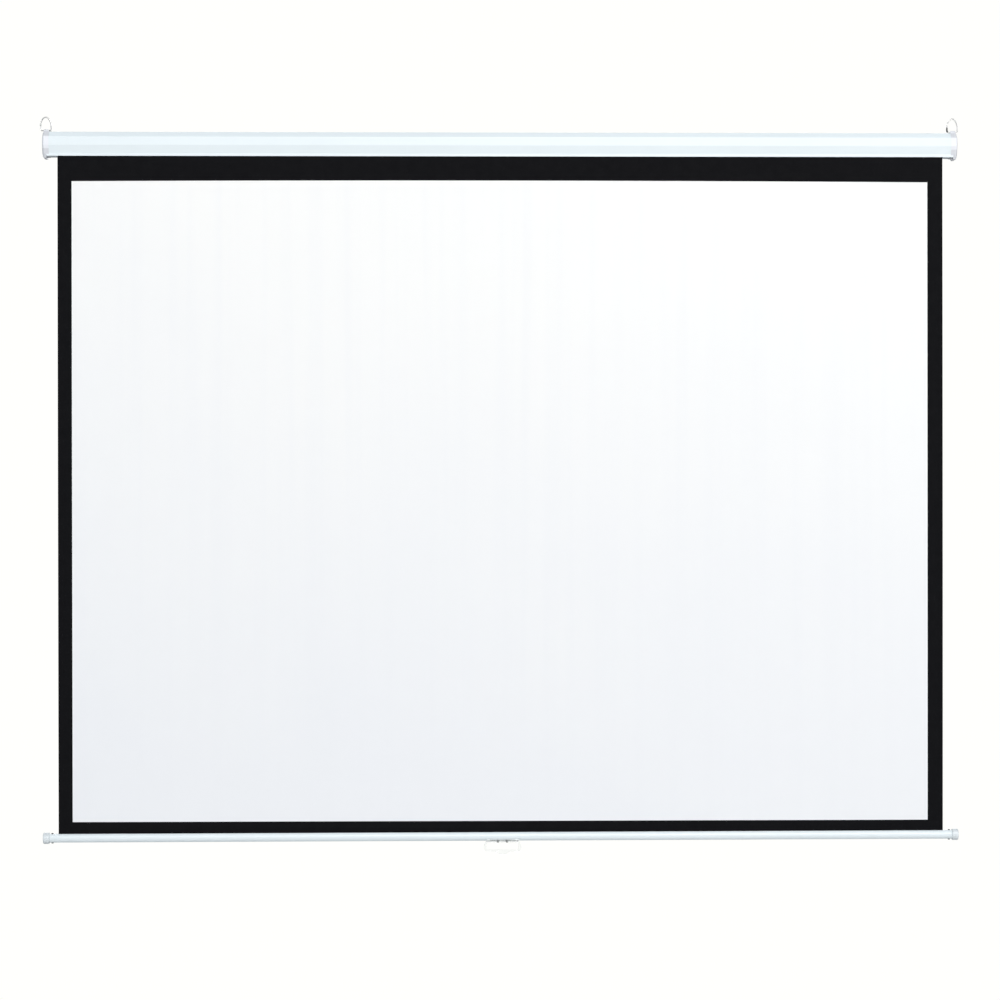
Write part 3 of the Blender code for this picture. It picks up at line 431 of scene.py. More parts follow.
def painted_steel(name, look):
    """Baked enamel on sheet steel: a fine orange peel, a cloudy tone and a low, uneven gloss."""
    made = Finish(name)
    cloud = made.noise(3.5, 3)
    tone = made.ramp(cloud, (0.3, shade(look.paint, 0.975)), (0.7, look.paint))
    speck = made.ranged(made.noise(420, 1), 0, 0.12, 0.66, 0.74)
    colour = made.blended(speck, tone, shade(look.paint, 0.8))
    peel = made.bump(made.noise(600, 2), look.peel_depth)
    waves = made.bump(made.noise(9, 1), look.panel_waves, peel)
    gloss = made.ranged(made.noise(38, 4), look.paint_roughness - 0.05, look.paint_roughness + 0.06)
    return made.set(Base_Color=colour, Roughness=gloss, Normal=waves, Coat_Weight=0.12, Coat_Roughness=0.25)


def moulded_plastic(name, colour, look, roughness, painted_shading=None):
    """Injection-moulded plastic: a spark-eroded grain, faint flow marks and duller rubbed patches.

    Painted shading is a middle height, how far above and below it the colour is left unshaded, and where all
    of it is shaded: painted shade that darkens the top and the foot.
    """
    made = Finish(name)
    flow = made.noise(1.0, 3, made.stretched((60, 25, 25)))
    tone = made.ramp(flow, (0.3, shade(colour, 0.955)), (0.72, colour))
    rubbed = made.ranged(made.noise(140, 5), 0, 0.35, 0.55, 0.8)
    colours = made.blended(rubbed, tone, shade(colour, 0.93))
    # Painted shade: darker above and below the middle height, on the top and the foot
    if painted_shading:
        middle, unshaded, shaded = painted_shading
        above = made.calculate("SUBTRACT", made.along_axis(made.place, "Z"), middle)
        painted_shade_amount = made.ranged(made.calculate("ABSOLUTE", above), 0, 1, unshaded, shaded)
        colours = made.blended(painted_shade_amount, colours, shade(colour, look.painted_shade_tone))
    spark = made.bump(made.noise(1500, 3), look.grain)
    uneven = made.bump(made.noise(60, 1), look.grain * 1.5, spark)
    gloss = made.ranged(made.noise(90, 3), roughness - 0.07, roughness + 0.09)
    return made.set(Base_Color=colours, Roughness=gloss, Normal=uneven)


def woven(made, pitch, depth):
    """The plain weave of a coated cloth, pressed nearly flat."""
    cloth = made.calculate("MULTIPLY", made.threads(pitch, "X"), made.threads(pitch, "Y"))
    slub = made.noise(900, 2)
    return made.bump(made.calculate("ADD", cloth, slub), depth)


def white_cloth(name, look):
    """The matt white face that takes the picture: coated weave, faint drifts of tone, and painted shade that
    darkens and cools it towards its foot and its left side.
    """
    made = Finish(name, "UV")
    # Painted shade: the white darkens and cools towards the foot and the left side; the cloudy part is the
    # cloth's own tone
    height = made.ranged(made.along_axis(made.place, "Y"), 0, 1, -1.6, -0.1)
    across = made.ranged(made.along_axis(made.place, "X"), -0.10, 0.05, -1.05, -0.55)
    cloudy = made.ranged(made.noise(1.6, 2), -0.12, 0.12)
    painted_shade_and_drift = made.calculate("ADD", made.calculate("ADD", height, across), cloudy)
    tone = made.ramp(painted_shade_and_drift, (0.05, look.painted_shade_white_foot), (0.95, look.white_top))
    bands = made.noise(1.0, 2, made.stretched((26, 0.5, 1)))
    streaks = made.ranged(bands, 0, 0.35, 0.45, 0.85)
    colour = made.blended(streaks, tone, shade(look.painted_shade_white_foot, 0.985))
    gloss = made.ranged(made.noise(70, 3), 0.86, 0.95)
    normal = woven(made, look.weave_pitch, look.weave_depth)
    return made.set(Base_Color=colour, Roughness=gloss, Normal=normal, Specular_IOR_Level=0.3)


def black_ink(name, look):
    """The black border, printed on the same weave, a little lighter where the print is thin."""
    made = Finish(name, "UV")
    thin = made.ranged(made.noise(210, 4), 0, 0.6, 0.5, 0.85)
    colour = made.blended(thin, look.black, shade(look.black, 1.7))
    gloss = made.ranged(made.noise(45, 3), 0.72, 0.86)
    normal = woven(made, look.weave_pitch, look.weave_depth * 1.4)
    return made.set(Base_Color=colour, Roughness=gloss, Normal=normal, Specular_IOR_Level=0.08)


def black_backing(name, look):
    """The light-tight coat on the back of the cloth, smooth and slightly leathery."""
    made = Finish(name, "UV")
    tone = made.ranged(made.noise(7, 4), 0, 1)
    colour = made.blended(tone, shade(look.black, 1.3), shade(look.black, 2.2))
    leather = made.bump(made.cells(700), 0.00003)
    gloss = made.ranged(made.noise(30, 4), 0.5, 0.64)
    return made.set(Base_Color=colour, Roughness=gloss, Normal=leather)


def metal(name, colour, roughness, grain=EVEN, tarnish=EVEN):
    """A bare or plated metal with drawn grain, cloudy tarnish and uneven gloss."""
    made = Finish(name)
    cloud = made.ranged(made.noise(55, 4), 0, 1)
    dull = [channel * share for channel, share in zip(colour, tarnish)]
    tone = made.blended(cloud, colour, shade(dull, 0.84))
    lines = made.noise(2600, 2, made.stretched(grain))
    gloss = made.ranged(lines, roughness - 0.05, roughness + 0.08)
    fine = made.bump(lines, 0.0000015)
    return made.set(Base_Color=tone, Metallic=1.0, Roughness=gloss, Normal=fine)


def galvanised(name, colour):
    """Zinc-coated strip with its crystal spangle."""
    made = Finish(name)
    crystal = made.cells(90, "Color")
    amount = made.ranged(made.node("ShaderNodeSeparateColor", {"Color": crystal}).outputs[0], 0, 1, 0, 1)
    tone = made.blended(amount, colour, shade(colour, 0.72))
    gloss = made.ranged(amount, 0.3, 0.52, 0, 1)
    relief = made.bump(made.noise(300, 3), 0.00001)
    return made.set(Base_Color=tone, Metallic=1.0, Roughness=gloss, Normal=relief)


def clear_moulding(name, look):
    """Clear polystyrene with faint flow lines and a little haze, and painted shade that greys the faces that
    look down.
    """
    made = Finish(name)
    flow = made.noise(1.0, 2, made.stretched((220, 90, 90)))
    tone = made.blended(made.ranged(flow, 0, 1), look.clear, shade(look.clear, 0.965))
    # Painted shade: faces that look down are greyed
    facing_up = made.along_axis(made.node("ShaderNodeTexCoord").outputs["Normal"], "Z")
    underside = made.ranged(facing_up, 0, 1, -0.15, -0.7)
    tone = made.blended(underside, tone, shade(look.clear, look.underside_painted_shade))
    haze = made.ranged(made.noise(160, 4), 0.03, 0.11)
    wavy = made.bump(flow, 0.00002)
    return made.set(Base_Color=tone, Roughness=haze, Normal=wavy, IOR=1.22, Transmission_Weight=1.0)


# Settings that a user would change


def metres(name, description, default):
    return FloatProperty(name=name, description=description, default=default, unit="LENGTH")


def degrees(name, description, default):
    return FloatProperty(name=name, description=description, default=math.radians(default), subtype="ANGLE")


def ratio(name, description, default):
    return FloatProperty(name=name, description=description, default=default, subtype="FACTOR")


def tint(name, description, default):
    return FloatVectorProperty(name=name, description=description, default=default, subtype="COLOR")


class PULLSCREEN_PG_cloth(bpy.types.PropertyGroup):
    left_border: metres("Left border", "Width of the black border at the left", 0.0332)
    right_border: metres("Right border", "Width of the black border at the right", 0.0362)
    top_border: metres("Top border", "Black below the case at the ends", 0.0602)
    border_bow: metres("Border bow", "Rise of the picture's top edge at its middle", 0.003)
    foot_border: metres("Foot border", "Black above the bar's own strip, at the middle", 0.0023)
    foot_slant: metres("Foot slant", "How much deeper that black is at the left end", 0.0014)
    edge_curl: metres("Edge curl", "How far the side edges curl forward", 0.0022)
    curl_width: metres("Curl width", "Width of the curled strip at each side", 0.16)
    thickness: metres("Thickness", "Thickness of the coated cloth", 0.00036)
    column_step: metres("Mesh step", "Size of the cloth's mesh faces", 0.025)
    weave_pitch: metres("Weave pitch", "Distance from thread to thread", 0.0005)
    weave_depth: metres("Weave depth", "Relief of the pressed weave", 0.00002)
    white_top: tint("White at the top", "Tone of the picture area at its top", (0.935, 0.93, 0.915))
    # Painted shade: the foot's tone is darker and cooler than the top's
    painted_shade_white_foot: tint("White at the foot", "Tone of the picture area at its foot", (0.875, 0.882, 0.902))
    black: tint("Black", "Tone of the printed border", (0.0046, 0.0046, 0.0056))


class PULLSCREEN_PG_metal(bpy.types.PropertyGroup):
    paint: tint("Paint", "Colour of the case and the bottom bar", (0.835, 0.905, 0.93))
    paint_roughness: ratio("Paint roughness", "Mean roughness of the paint", 0.34)
    peel_depth: metres("Orange peel", "Relief of the sprayed paint", 0.000012)
    panel_waves: metres("Panel waves", "Relief of the long waves in the sheet", 0.0002)
    steel: tint("Steel", "Colour of the bright wire and pins", (0.75, 0.74, 0.73))
    zinc: tint("Zinc plate", "Colour of the plated parts", (0.66, 0.67, 0.66))
    dark: tint("Dark screws", "Colour of the blackened screws", (0.075, 0.08, 0.075))
    dull: tint("Dull screws", "Colour of the dulled screws in the pull", (0.24, 0.25, 0.235))
    strip: tint("Roller strip", "Colour of the roller's zinc-coated tube", (0.62, 0.64, 0.66))


class PULLSCREEN_PG_plastic(bpy.types.PropertyGroup):
    cap: tint("End caps", "Colour of the case's moulded caps", (0.89, 0.905, 0.945))
    bar_cap: tint("Bar caps", "Colour of the bottom bar's caps", (0.785, 0.835, 0.855))
    # Painted shade on the caps' tops and feet: beyond these reaches from the middle, their colour darkens to
    # the shade tone below
    cap_middle: metres("Cap middle", "Height of the middle of a cap's front face", 0.0025)
    cap_unshaded: metres("Cap clean", "How far above and below that a cap is clean", 0.0130)
    cap_shaded: metres("Cap dusty", "How far above and below that all is dusty", 0.0151)
    bar_cap_unshaded: metres("Bar cap clean", "How far from its axis a bar cap is clean", 0.0045)
    bar_cap_shaded: metres("Bar cap dusty", "How far from its axis all of it is dusty", 0.0125)
    painted_shade_tone: ratio("Dust tone", "Share of the colour that shows through dust", 0.82)
    cap_roughness: ratio("Cap roughness", "Mean roughness of the caps", 0.42)
    grain: metres("Grain", "Relief of the mould's grain", 0.000012)
    grey: tint("Grey plugs", "Colour of the roller's plugs", (0.40, 0.41, 0.43))
    nylon: tint("Nylon", "Colour of the bush, spring hub and hem rod", (0.78, 0.76, 0.68))
    clear: tint("Clear pull", "Colour of the pull handle", (0.96, 0.975, 0.975))
    # Painted shade: the share of the clear colour left on faces that look down
    underside_painted_shade: ratio("Rubbed tone", "Share of that colour on its underside", 0.60)


class PULLSCREEN_PG_rings(bpy.types.PropertyGroup):
    corner: metres("Corner", "Radius of a ring's two lower corners", 0.004)
    shoulder: metres("Shoulder", "Height above the ring's foot where its arch starts", 0.010)
    sleeve_radius: metres("Sleeve radius", "Radius of the crimped sleeve on each ring", 0.0020)
    sleeve_length: metres("Sleeve length", "Length of the crimped sleeve", 0.0118)
    left_sleeve: metres("Left sleeve", "Height of the left sleeve's foot above the hinge", 0.0065)
    right_sleeve: metres("Right sleeve", "Height of the right sleeve's foot above the hinge", 0.0002)


class PULLSCREEN_PG_screws(bpy.types.PropertyGroup):
    head_height: metres("Head height", "Height of each round head", 0.0016)
    shank_radius: metres("Shank radius", "Radius of each screw's shank", 0.0014)
    cross_length: metres("Cross length", "Length of the cross slot's arms, end to end", 0.0031)
    cross_width: metres("Cross width", "Width of the cross slot's arms", 0.00065)
    cross_depth: metres("Cross depth", "Depth of the cross slot", 0.0010)
    cross_taper: ratio("Cross taper", "Share of their length that the arms keep at the bottom", 0.55)
    crown: ratio("Crown", "Share of the head's height that is rounded", 0.8)
    point: ratio("Point", "Share of the shank's length that is its point", 0.2)
    point_end: ratio("Point end", "Share of the shank's width that its point ends with", 0.3)
    first_turn: degrees("First turn", "Turn of the first screw's cross", 20)
    next_turn: degrees("Next turn", "Turn from each screw's cross to the next one's", 37)


class PULLSCREEN_PG_pull(bpy.types.PropertyGroup):
    thickness: metres("Thickness", "Thickness of the finger loop", 0.007)
    shoulder: metres("Shoulder", "How far the loop's top corners stand in", 0.005)
    side: metres("Side", "Width of the loop's upright sides", 0.0065)
    hip: ratio("Hip", "Share of that width by which the outline narrows above its foot", 0.15)
    grip: metres("Grip", "Height of the loop's lower bar", 0.0052)
    lobe_drop: metres("Lobe drop", "How far the thumb lobe hangs below the bar", 0.0062)
    lobe_half: metres("Lobe", "Half width of the lobe at its foot", 0.0075)
    lobe_foot: metres("Lobe root", "Half width of the lobe where it starts", 0.015)
    corner: metres("Corner", "Length over which each corner is eased", 0.005)
    edge: metres("Edge", "Radius of the rounded edges of the opening", 0.0011)
    rim: metres("Rim", "Radius of the rounded edges outside", 0.0024)
    draft: metres("Draft", "How much lower the opening's foot is at the back", 0.0008)
    saddle_length: metres("Saddle length", "Length of the saddle under the bar", 0.076)
    saddle_thickness: metres("Saddle thickness", "Thickness of the saddle", 0.0022)
    saddle_reach: degrees("Saddle reach", "How far the saddle goes up each side of the bar", 50)
    saddle_edge: metres("Saddle edge", "Radius of the saddle's rounded edges", 0.0006)
    saddle_step: metres("Saddle step", "Length of the saddle's mesh faces", 0.004)
    web: metres("Web", "Wall between the saddle and the opening", 0.0017)


class PULLSCREEN_PG_stage(bpy.types.PropertyGroup):
    camera_place: FloatVectorProperty(
        name="Camera", description="Where the camera stands", subtype="XYZ", default=(-0.2419, -8.0, -0.8074)
    )
    yaw: degrees("Yaw", "Turn of the camera to the right", 1.708)
    pitch: degrees("Pitch", "Tilt of the camera upwards", -0.2640)
    roll: degrees("Roll", "Lean of the camera", -0.0726)
    lens: FloatProperty(
        name="Lens", description="Focal length in millimetres", default=120.61, subtype="DISTANCE_CAMERA"
    )
    floor_drop: metres("Floor", "Depth of the floor below the case", 2.3)
    key_power: FloatProperty(
        name="Key light", description="Power of the big front light", default=300.0, unit="POWER"
    )
    room_light: FloatProperty(
        name="Room light", description="Strength of the white room's light", default=0.42
    )


SETTINGS = {
    "pullscreen_cloth": PULLSCREEN_PG_cloth,
    "pullscreen_metal": PULLSCREEN_PG_metal,
    "pullscreen_plastic": PULLSCREEN_PG_plastic,
    "pullscreen_rings": PULLSCREEN_PG_rings,
    "pullscreen_screws": PULLSCREEN_PG_screws,
    "pullscreen_pull": PULLSCREEN_PG_pull,
    "pullscreen_stage": PULLSCREEN_PG_stage,
}


# Tools for pieces and their finishes


def finish_named(name):
    """A material that an earlier step made."""
    found = bpy.data.materials.get(name)
    if found is None:
        raise RuntimeError(f"the finish {name} isn't made yet")
    return found


def coat(piece, finish):
    """Give a new piece one finish all over."""
    piece.data.materials.clear()
    piece.data.materials.append(finish_named(finish))


def back_with_cloth(piece, cloth, faces):
    """Thickness, backing and edges for a cloth grid whose front faces have their materials."""
    for name in faces + ("black_backing", "black_backing"):
        piece.data.materials.append(finish_named(name))
    behind = {"material_offset": len(faces), "material_offset_rim": len(faces)}
    modify(piece, "SOLIDIFY", thickness=cloth.thickness, offset=0.0, **behind)
    smooth(piece, 60)


# Steps


class PULLSCREEN_OT_mix_finishes(bpy.types.Operator):
    """Make the paints, plastics, metals and cloth faces that the pieces share"""

    bl_idname = "pullscreen.mix_finishes"
    bl_label = "Mix the finishes"

    def execute(self, context):
        cloth = context.scene.pullscreen_cloth
        steel = context.scene.pullscreen_metal
        plastic = context.scene.pullscreen_plastic
        # Painted shade on the tops and feet of the end caps and of the bar caps
        cap_painted_shading = (plastic.cap_middle, plastic.cap_unshaded, plastic.cap_shaded)
        bar_cap_painted_shading = (centre_of("bar_tube").z, plastic.bar_cap_unshaded, plastic.bar_cap_shaded)
        painted_steel("white_enamel", steel)
        moulded_plastic("white_moulding", plastic.cap, plastic, plastic.cap_roughness, cap_painted_shading)
        moulded_plastic("pale_grey_moulding", plastic.bar_cap, plastic, plastic.cap_roughness, bar_cap_painted_shading)
        moulded_plastic("grey_moulding", plastic.grey, plastic, roughness=0.5)
        moulded_plastic("natural_nylon_moulding", plastic.nylon, plastic, roughness=0.46)
        clear_moulding("clear_moulding", plastic)
        white_cloth("white_cloth", cloth)
        black_ink("black_border_ink", cloth)
        black_backing("black_backing", cloth)
        metal("drawn_steel", steel.steel, roughness=0.33, grain=(0.05, 1, 1))
        metal("zinc_plate", steel.zinc, roughness=0.34, tarnish=(1.0, 0.99, 0.9))
        metal("black_oxide", steel.dark, roughness=0.42, tarnish=(0.9, 0.95, 1.1))
        metal("dull_zinc", steel.dull, roughness=0.42, tarnish=(0.95, 0.97, 1.0))
        galvanised("galvanised_strip", steel.strip)
        return {"FINISHED"}


class PULLSCREEN_OT_dress_parts(bpy.types.Operator):
    """Give each CAD part that stays its finish"""

    bl_idname = "pullscreen.dress_parts"
    bl_label = "Dress the CAD parts"

    def execute(self, context):
        wear = {
            "white_enamel": ("case", "bar_tube"),
            "white_moulding": ("end_cap_left", "end_cap_right"),
            "pale_grey_moulding": ("bar_cap_left", "bar_cap_right"),
            "grey_moulding": ("idle_plug", "lock_plug"),
            "natural_nylon_moulding": ("idle_bush", "spring_anchor", "hem_rod"),
            "drawn_steel": (
                "idle_pin", "spindle", "pawl_pin_a", "pawl_pin_b", "pawl_a", "pawl_b", "torsion_spring",
            ),
            "zinc_plate": ("ratchet_wheel", "lock_cover"),
            "galvanised_strip": ("roller_tube",),
        }
        for finish, nodes in wear.items():
            for node in nodes:
                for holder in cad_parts[node].material_slots:
                    holder.material = finish_named(finish)
        return {"FINISHED"}


class PULLSCREEN_OT_hang_screen(bpy.types.Operator):
    """Hang the sheet that takes the picture, with its black borders, below the case"""

    bl_idname = "pullscreen.hang_screen"
    bl_label = "Hang the screen"

    def execute(self, context):
        cloth = context.scene.pullscreen_cloth
        low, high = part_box("screen_fabric")
        middle = (low.y + high.y) / 2
        left_line = low.x + cloth.left_border
        right_line = high.x - cloth.right_border
        top_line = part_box("case")[0].z - cloth.top_border
        foot_line = low.z + cloth.foot_border
        step = cloth.column_step
        stations = evenly(low.x, left_line, step / 2) + evenly(left_line, right_line, step)
        stations += evenly(right_line, high.x, step / 2) + [high.x]
        heights = evenly(high.z, top_line, step / 2) + evenly(top_line, foot_line, step)
        heights += [foot_line, low.z]
        piece, length = grid_along("screen_sheet", stations, [(middle, height) for height in heights])
        for face in piece.data.polygons:
            inside = left_line < face.center.x < right_line and foot_line < face.center.z < top_line
            face.material_index = 0 if inside else 1
        for corner in piece.data.vertices:
            self.hang(corner.co, cloth, low, high, top_line, foot_line)
        back_with_cloth(piece, cloth, ("white_cloth", "black_border_ink"))
        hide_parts("screen_fabric")
        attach(piece, "case")
        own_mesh(piece)
        return {"FINISHED"}

    def hang(self, place, cloth, low, high, top_line, foot_line):
        """Curl the side edges forward, bow the picture's top edge and slant its foot."""
        half = (high.x - low.x) / 2
        near_edge = max(0.0, (abs(place.x) - half) / cloth.curl_width + 1)
        fallen = max(0.0, min(1.0, (top_line - place.z) / (top_line - low.z)))
        place.y -= cloth.edge_curl * near_edge ** 2 * math.sin(math.pi * fallen)
        near_line = max(0.0, 1 - abs(place.z - top_line) / (high.z - top_line))
        place.z += cloth.border_bow * near_line * (1 - (place.x / half) ** 2)
        if abs(place.z - foot_line) < cloth.foot_border / 2:
            place.z -= cloth.foot_slant * place.x / half


class PULLSCREEN_OT_sew_hem(bpy.types.Operator):
    """Take the foot of the cloth into the bar and round its rod"""

    bl_idname = "pullscreen.sew_hem"
    bl_label = "Sew the hem"

    wrap: degrees("Wrap", "How far the hem goes round its rod", 320)
    lap: metres("Lap", "How far the hem reaches up behind the screen", 0.004)
    behind: ratio("Behind", "Thicknesses of cloth from the screen back to the hem's lap", 1.2)
    steps: IntProperty(name="Steps", description="Mesh rows round the rod", default=64)

    def execute(self, context):
        cloth = context.scene.pullscreen_cloth
        low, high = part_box("fabric_hem")
        line = centre_of("screen_fabric").y
        rod = centre_of("hem_rod")
        back_line = line + cloth.thickness * self.behind
        path = [(back_line, high.z + self.lap), (back_line, high.z)]
        path += [(line, height) for height in evenly(high.z - self.lap, rod.z, cloth.column_step / 4)]
        path += arc((rod.y, rod.z), rod.y - line, 180, 180 + math.degrees(self.wrap), self.steps)
        stations = evenly(low.x, high.x, cloth.column_step * 2) + [high.x]
        piece, length = grid_along("hem_sheet", stations, path)
        back_with_cloth(piece, cloth, ("black_border_ink",))
        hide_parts("fabric_hem")
        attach(piece, "bottom_bar")
        return {"FINISHED"}


class PULLSCREEN_OT_wind_turns(bpy.types.Operator):
    """Wind the spare turns of cloth that stay on the roller"""

    bl_idname = "pullscreen.wind_turns"
    bl_label = "Wind the spare turns"

    turns: FloatProperty(name="Turns", description="Turns left on the roller", default=1.25)
    steps_per_turn: IntProperty(name="Steps", description="Mesh rows in each turn", default=80)
    clearance: metres("Clearance", "Room between layers", 0.0002)
    under_sheet: ratio("Under sheet", "Thicknesses of cloth from the hanging sheet to the top turn", 1.05)

    def execute(self, context):
        cloth = context.scene.pullscreen_cloth
        low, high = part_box("wound_fabric")
        axis = centre_of("roller_tube")
        outer = axis.y - centre_of("screen_fabric").y - cloth.thickness * self.under_sheet
        inner = size_of("roller_tube").z / 2 + self.clearance + cloth.thickness / 2
        count = round(self.turns * self.steps_per_turn)
        path = []
        for step in range(count + 1):
            turned = math.pi - 2 * math.pi * self.turns * step / count
            radius = outer + (inner - outer) * step / count
            path.append((axis.y + radius * math.cos(turned), axis.z + radius * math.sin(turned)))
        stations = evenly(low.x, high.x, cloth.column_step * 4) + [high.x]
        piece, length = grid_along("wound_turns", stations, path[::-1])
        back_with_cloth(piece, cloth, ("black_border_ink",))
        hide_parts("wound_fabric")
        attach(piece, "roller")
        return {"FINISHED"}


class PULLSCREEN_OT_hang_rings(bpy.types.Operator):
    """Crimp a sleeve on the wire of each hanging ring"""

    bl_idname = "pullscreen.hang_rings"
    bl_label = "Hang the rings"

    corner_steps: IntProperty(name="Corner steps", description="Sections in each lower corner", default=10)
    arch_steps: IntProperty(name="Arch steps", description="Sections in each ring's arch", default=48)

    def execute(self, context):
        look = context.scene.pullscreen_rings
        for word in SIDES:
            start = look.left_sleeve if word == "left" else look.right_sleeve
            self.make_ring(word, look, start)
        return {"FINISHED"}

    def make_ring(self, word, look, start):
        """A smooth closed wire of the ring's own size, and the sleeve on its left leg."""
        node = f"hanging_ring_{word}"
        low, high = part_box(node)
        middle = (low + high) / 2
        wire_radius = (high.y - low.y) / 2
        foot = low.z + wire_radius
        outline = self.outline(look, (high.x - low.x) / 2 - wire_radius, high.z - wire_radius - foot)
        points = [(middle.x + x, middle.y, foot + z) for x, z in outline]
        ring = wire(f"ring_wire_{word}", points, wire_radius, closed=True)
        coat(ring, "drawn_steel")
        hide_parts(node)
        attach(ring, f"ring_{word}")
        end = start + look.sleeve_length
        leg = [point for point in points if point[0] < middle.x and start <= point[2] - foot <= end]
        sleeve = wire(f"ring_sleeve_{word}", leg, look.sleeve_radius, closed=False, sides=6, ends=0.8)
        coat(sleeve, "zinc_plate" if word == "left" else "black_oxide")
        smooth(sleeve)
        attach(sleeve, f"ring_{word}")

    def outline(self, look, half, height):
        """The (x, z) line of a ring's wire, from its left foot round by the right one."""
        corner = look.corner
        line = arc((half - corner, corner), corner, -90, 0, self.corner_steps)
        for step in range(1, self.arch_steps):
            turned = math.pi * step / self.arch_steps
            rise = look.shoulder + (height - look.shoulder) * math.sin(turned)
            line.append((half * math.cos(turned), rise))
        return line + arc((corner - half, corner), corner, 180, 270, self.corner_steps)


class PULLSCREEN_OT_mould_pull(bpy.types.Operator):
    """Mould the clear pull: a finger loop with a thumb lobe, under a saddle that fits the bar"""

    bl_idname = "pullscreen.mould_pull"
    bl_label = "Mould the pull"

    samples: IntProperty(name="Samples", description="Points round the loop's outline", default=220)
    saddle_steps: IntProperty(name="Saddle steps", description="Faces across the saddle", default=24)
    play: metres("Play", "Room round bar and screws", 0.0003)

    def execute(self, context):
        look = context.scene.pullscreen_pull
        screws = context.scene.pullscreen_screws
        low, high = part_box("pull_handle")
        bar = centre_of("bar_tube")
        bore = size_of("bar_tube").z / 2 + self.play
        seat = bar.z - bore - look.saddle_thickness
        outer, inner = self.outlines(look, low, high, seat)
        pull = flat_loop("clear_pull", outer, inner, bar.y, look)
        cut_with(pull, self.make_saddle(look, bar, bore), "UNION")
        for word in SIDES:
            screw = centre_of(f"handle_screw_{word}")
            head_radius = size_of(f"handle_screw_{word}").x / 2 + self.play
            shank_radius = screws.shank_radius + self.play
            cut_with(pull, peg("pocket", head_radius, seat - look.web * 2, seat, screw))
            cut_with(pull, peg("screw_hole", shank_radius, seat - look.web, bar.z, screw))
        faces_outwards(pull)
        smooth(pull, 32)
        coat(pull, "clear_moulding")
        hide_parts("pull_handle")
        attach(pull, "bottom_bar")
        return {"FINISHED"}

    def outlines(self, look, low, high, seat):
        """The loop's outer and inner outlines, both from the middle of their top edge."""
        half = (high.x - low.x) / 2
        top = seat + look.saddle_thickness / 2
        foot = low.z + look.lobe_drop
        right = [
            (half - look.shoulder, top), (half, (top + foot) / 2),
            (half - look.side * look.hip, (top + 3 * foot) / 4), (half - look.side, foot),
            (look.lobe_foot, foot), (look.lobe_half, low.z),
        ]
        corners = [(0, top)] + right + [(-x, z) for x, z in reversed(right)]
        roof = seat - look.web
        wide = half - look.side
        floor = foot + look.grip
        hole = [(0, roof), (wide, roof), (wide, floor), (-wide, floor), (-wide, roof)]
        middle = (low.x + high.x) / 2
        first = CORNER_STEPS // 2
        lines = []
        for line in (rounded(corners, look.corner), rounded(hole, look.corner)):
            from_middle = spaced(line[first:] + line[:first], self.samples)
            lines.append([(middle + x, z) for x, z in from_middle])
        return lines

    def make_saddle(self, look, bar, bore):
        reach = math.degrees(look.saddle_reach)
        radius = bore + look.saddle_thickness / 2
        path = arc((bar.y, bar.z), radius, 270 - reach, 270 + reach, self.saddle_steps)
        half = look.saddle_length / 2
        saddle, _ = grid_along("saddle", evenly(-half, half, look.saddle_step) + [half], path)
        modify(saddle, "SOLIDIFY", thickness=look.saddle_thickness, offset=0.0)
        faces_outwards(saddle)
        sharp = {"limit_method": "ANGLE", "angle_limit": SHARP_EDGE}
        modify(saddle, "BEVEL", width=look.saddle_edge, segments=2, **sharp)
        return saddle


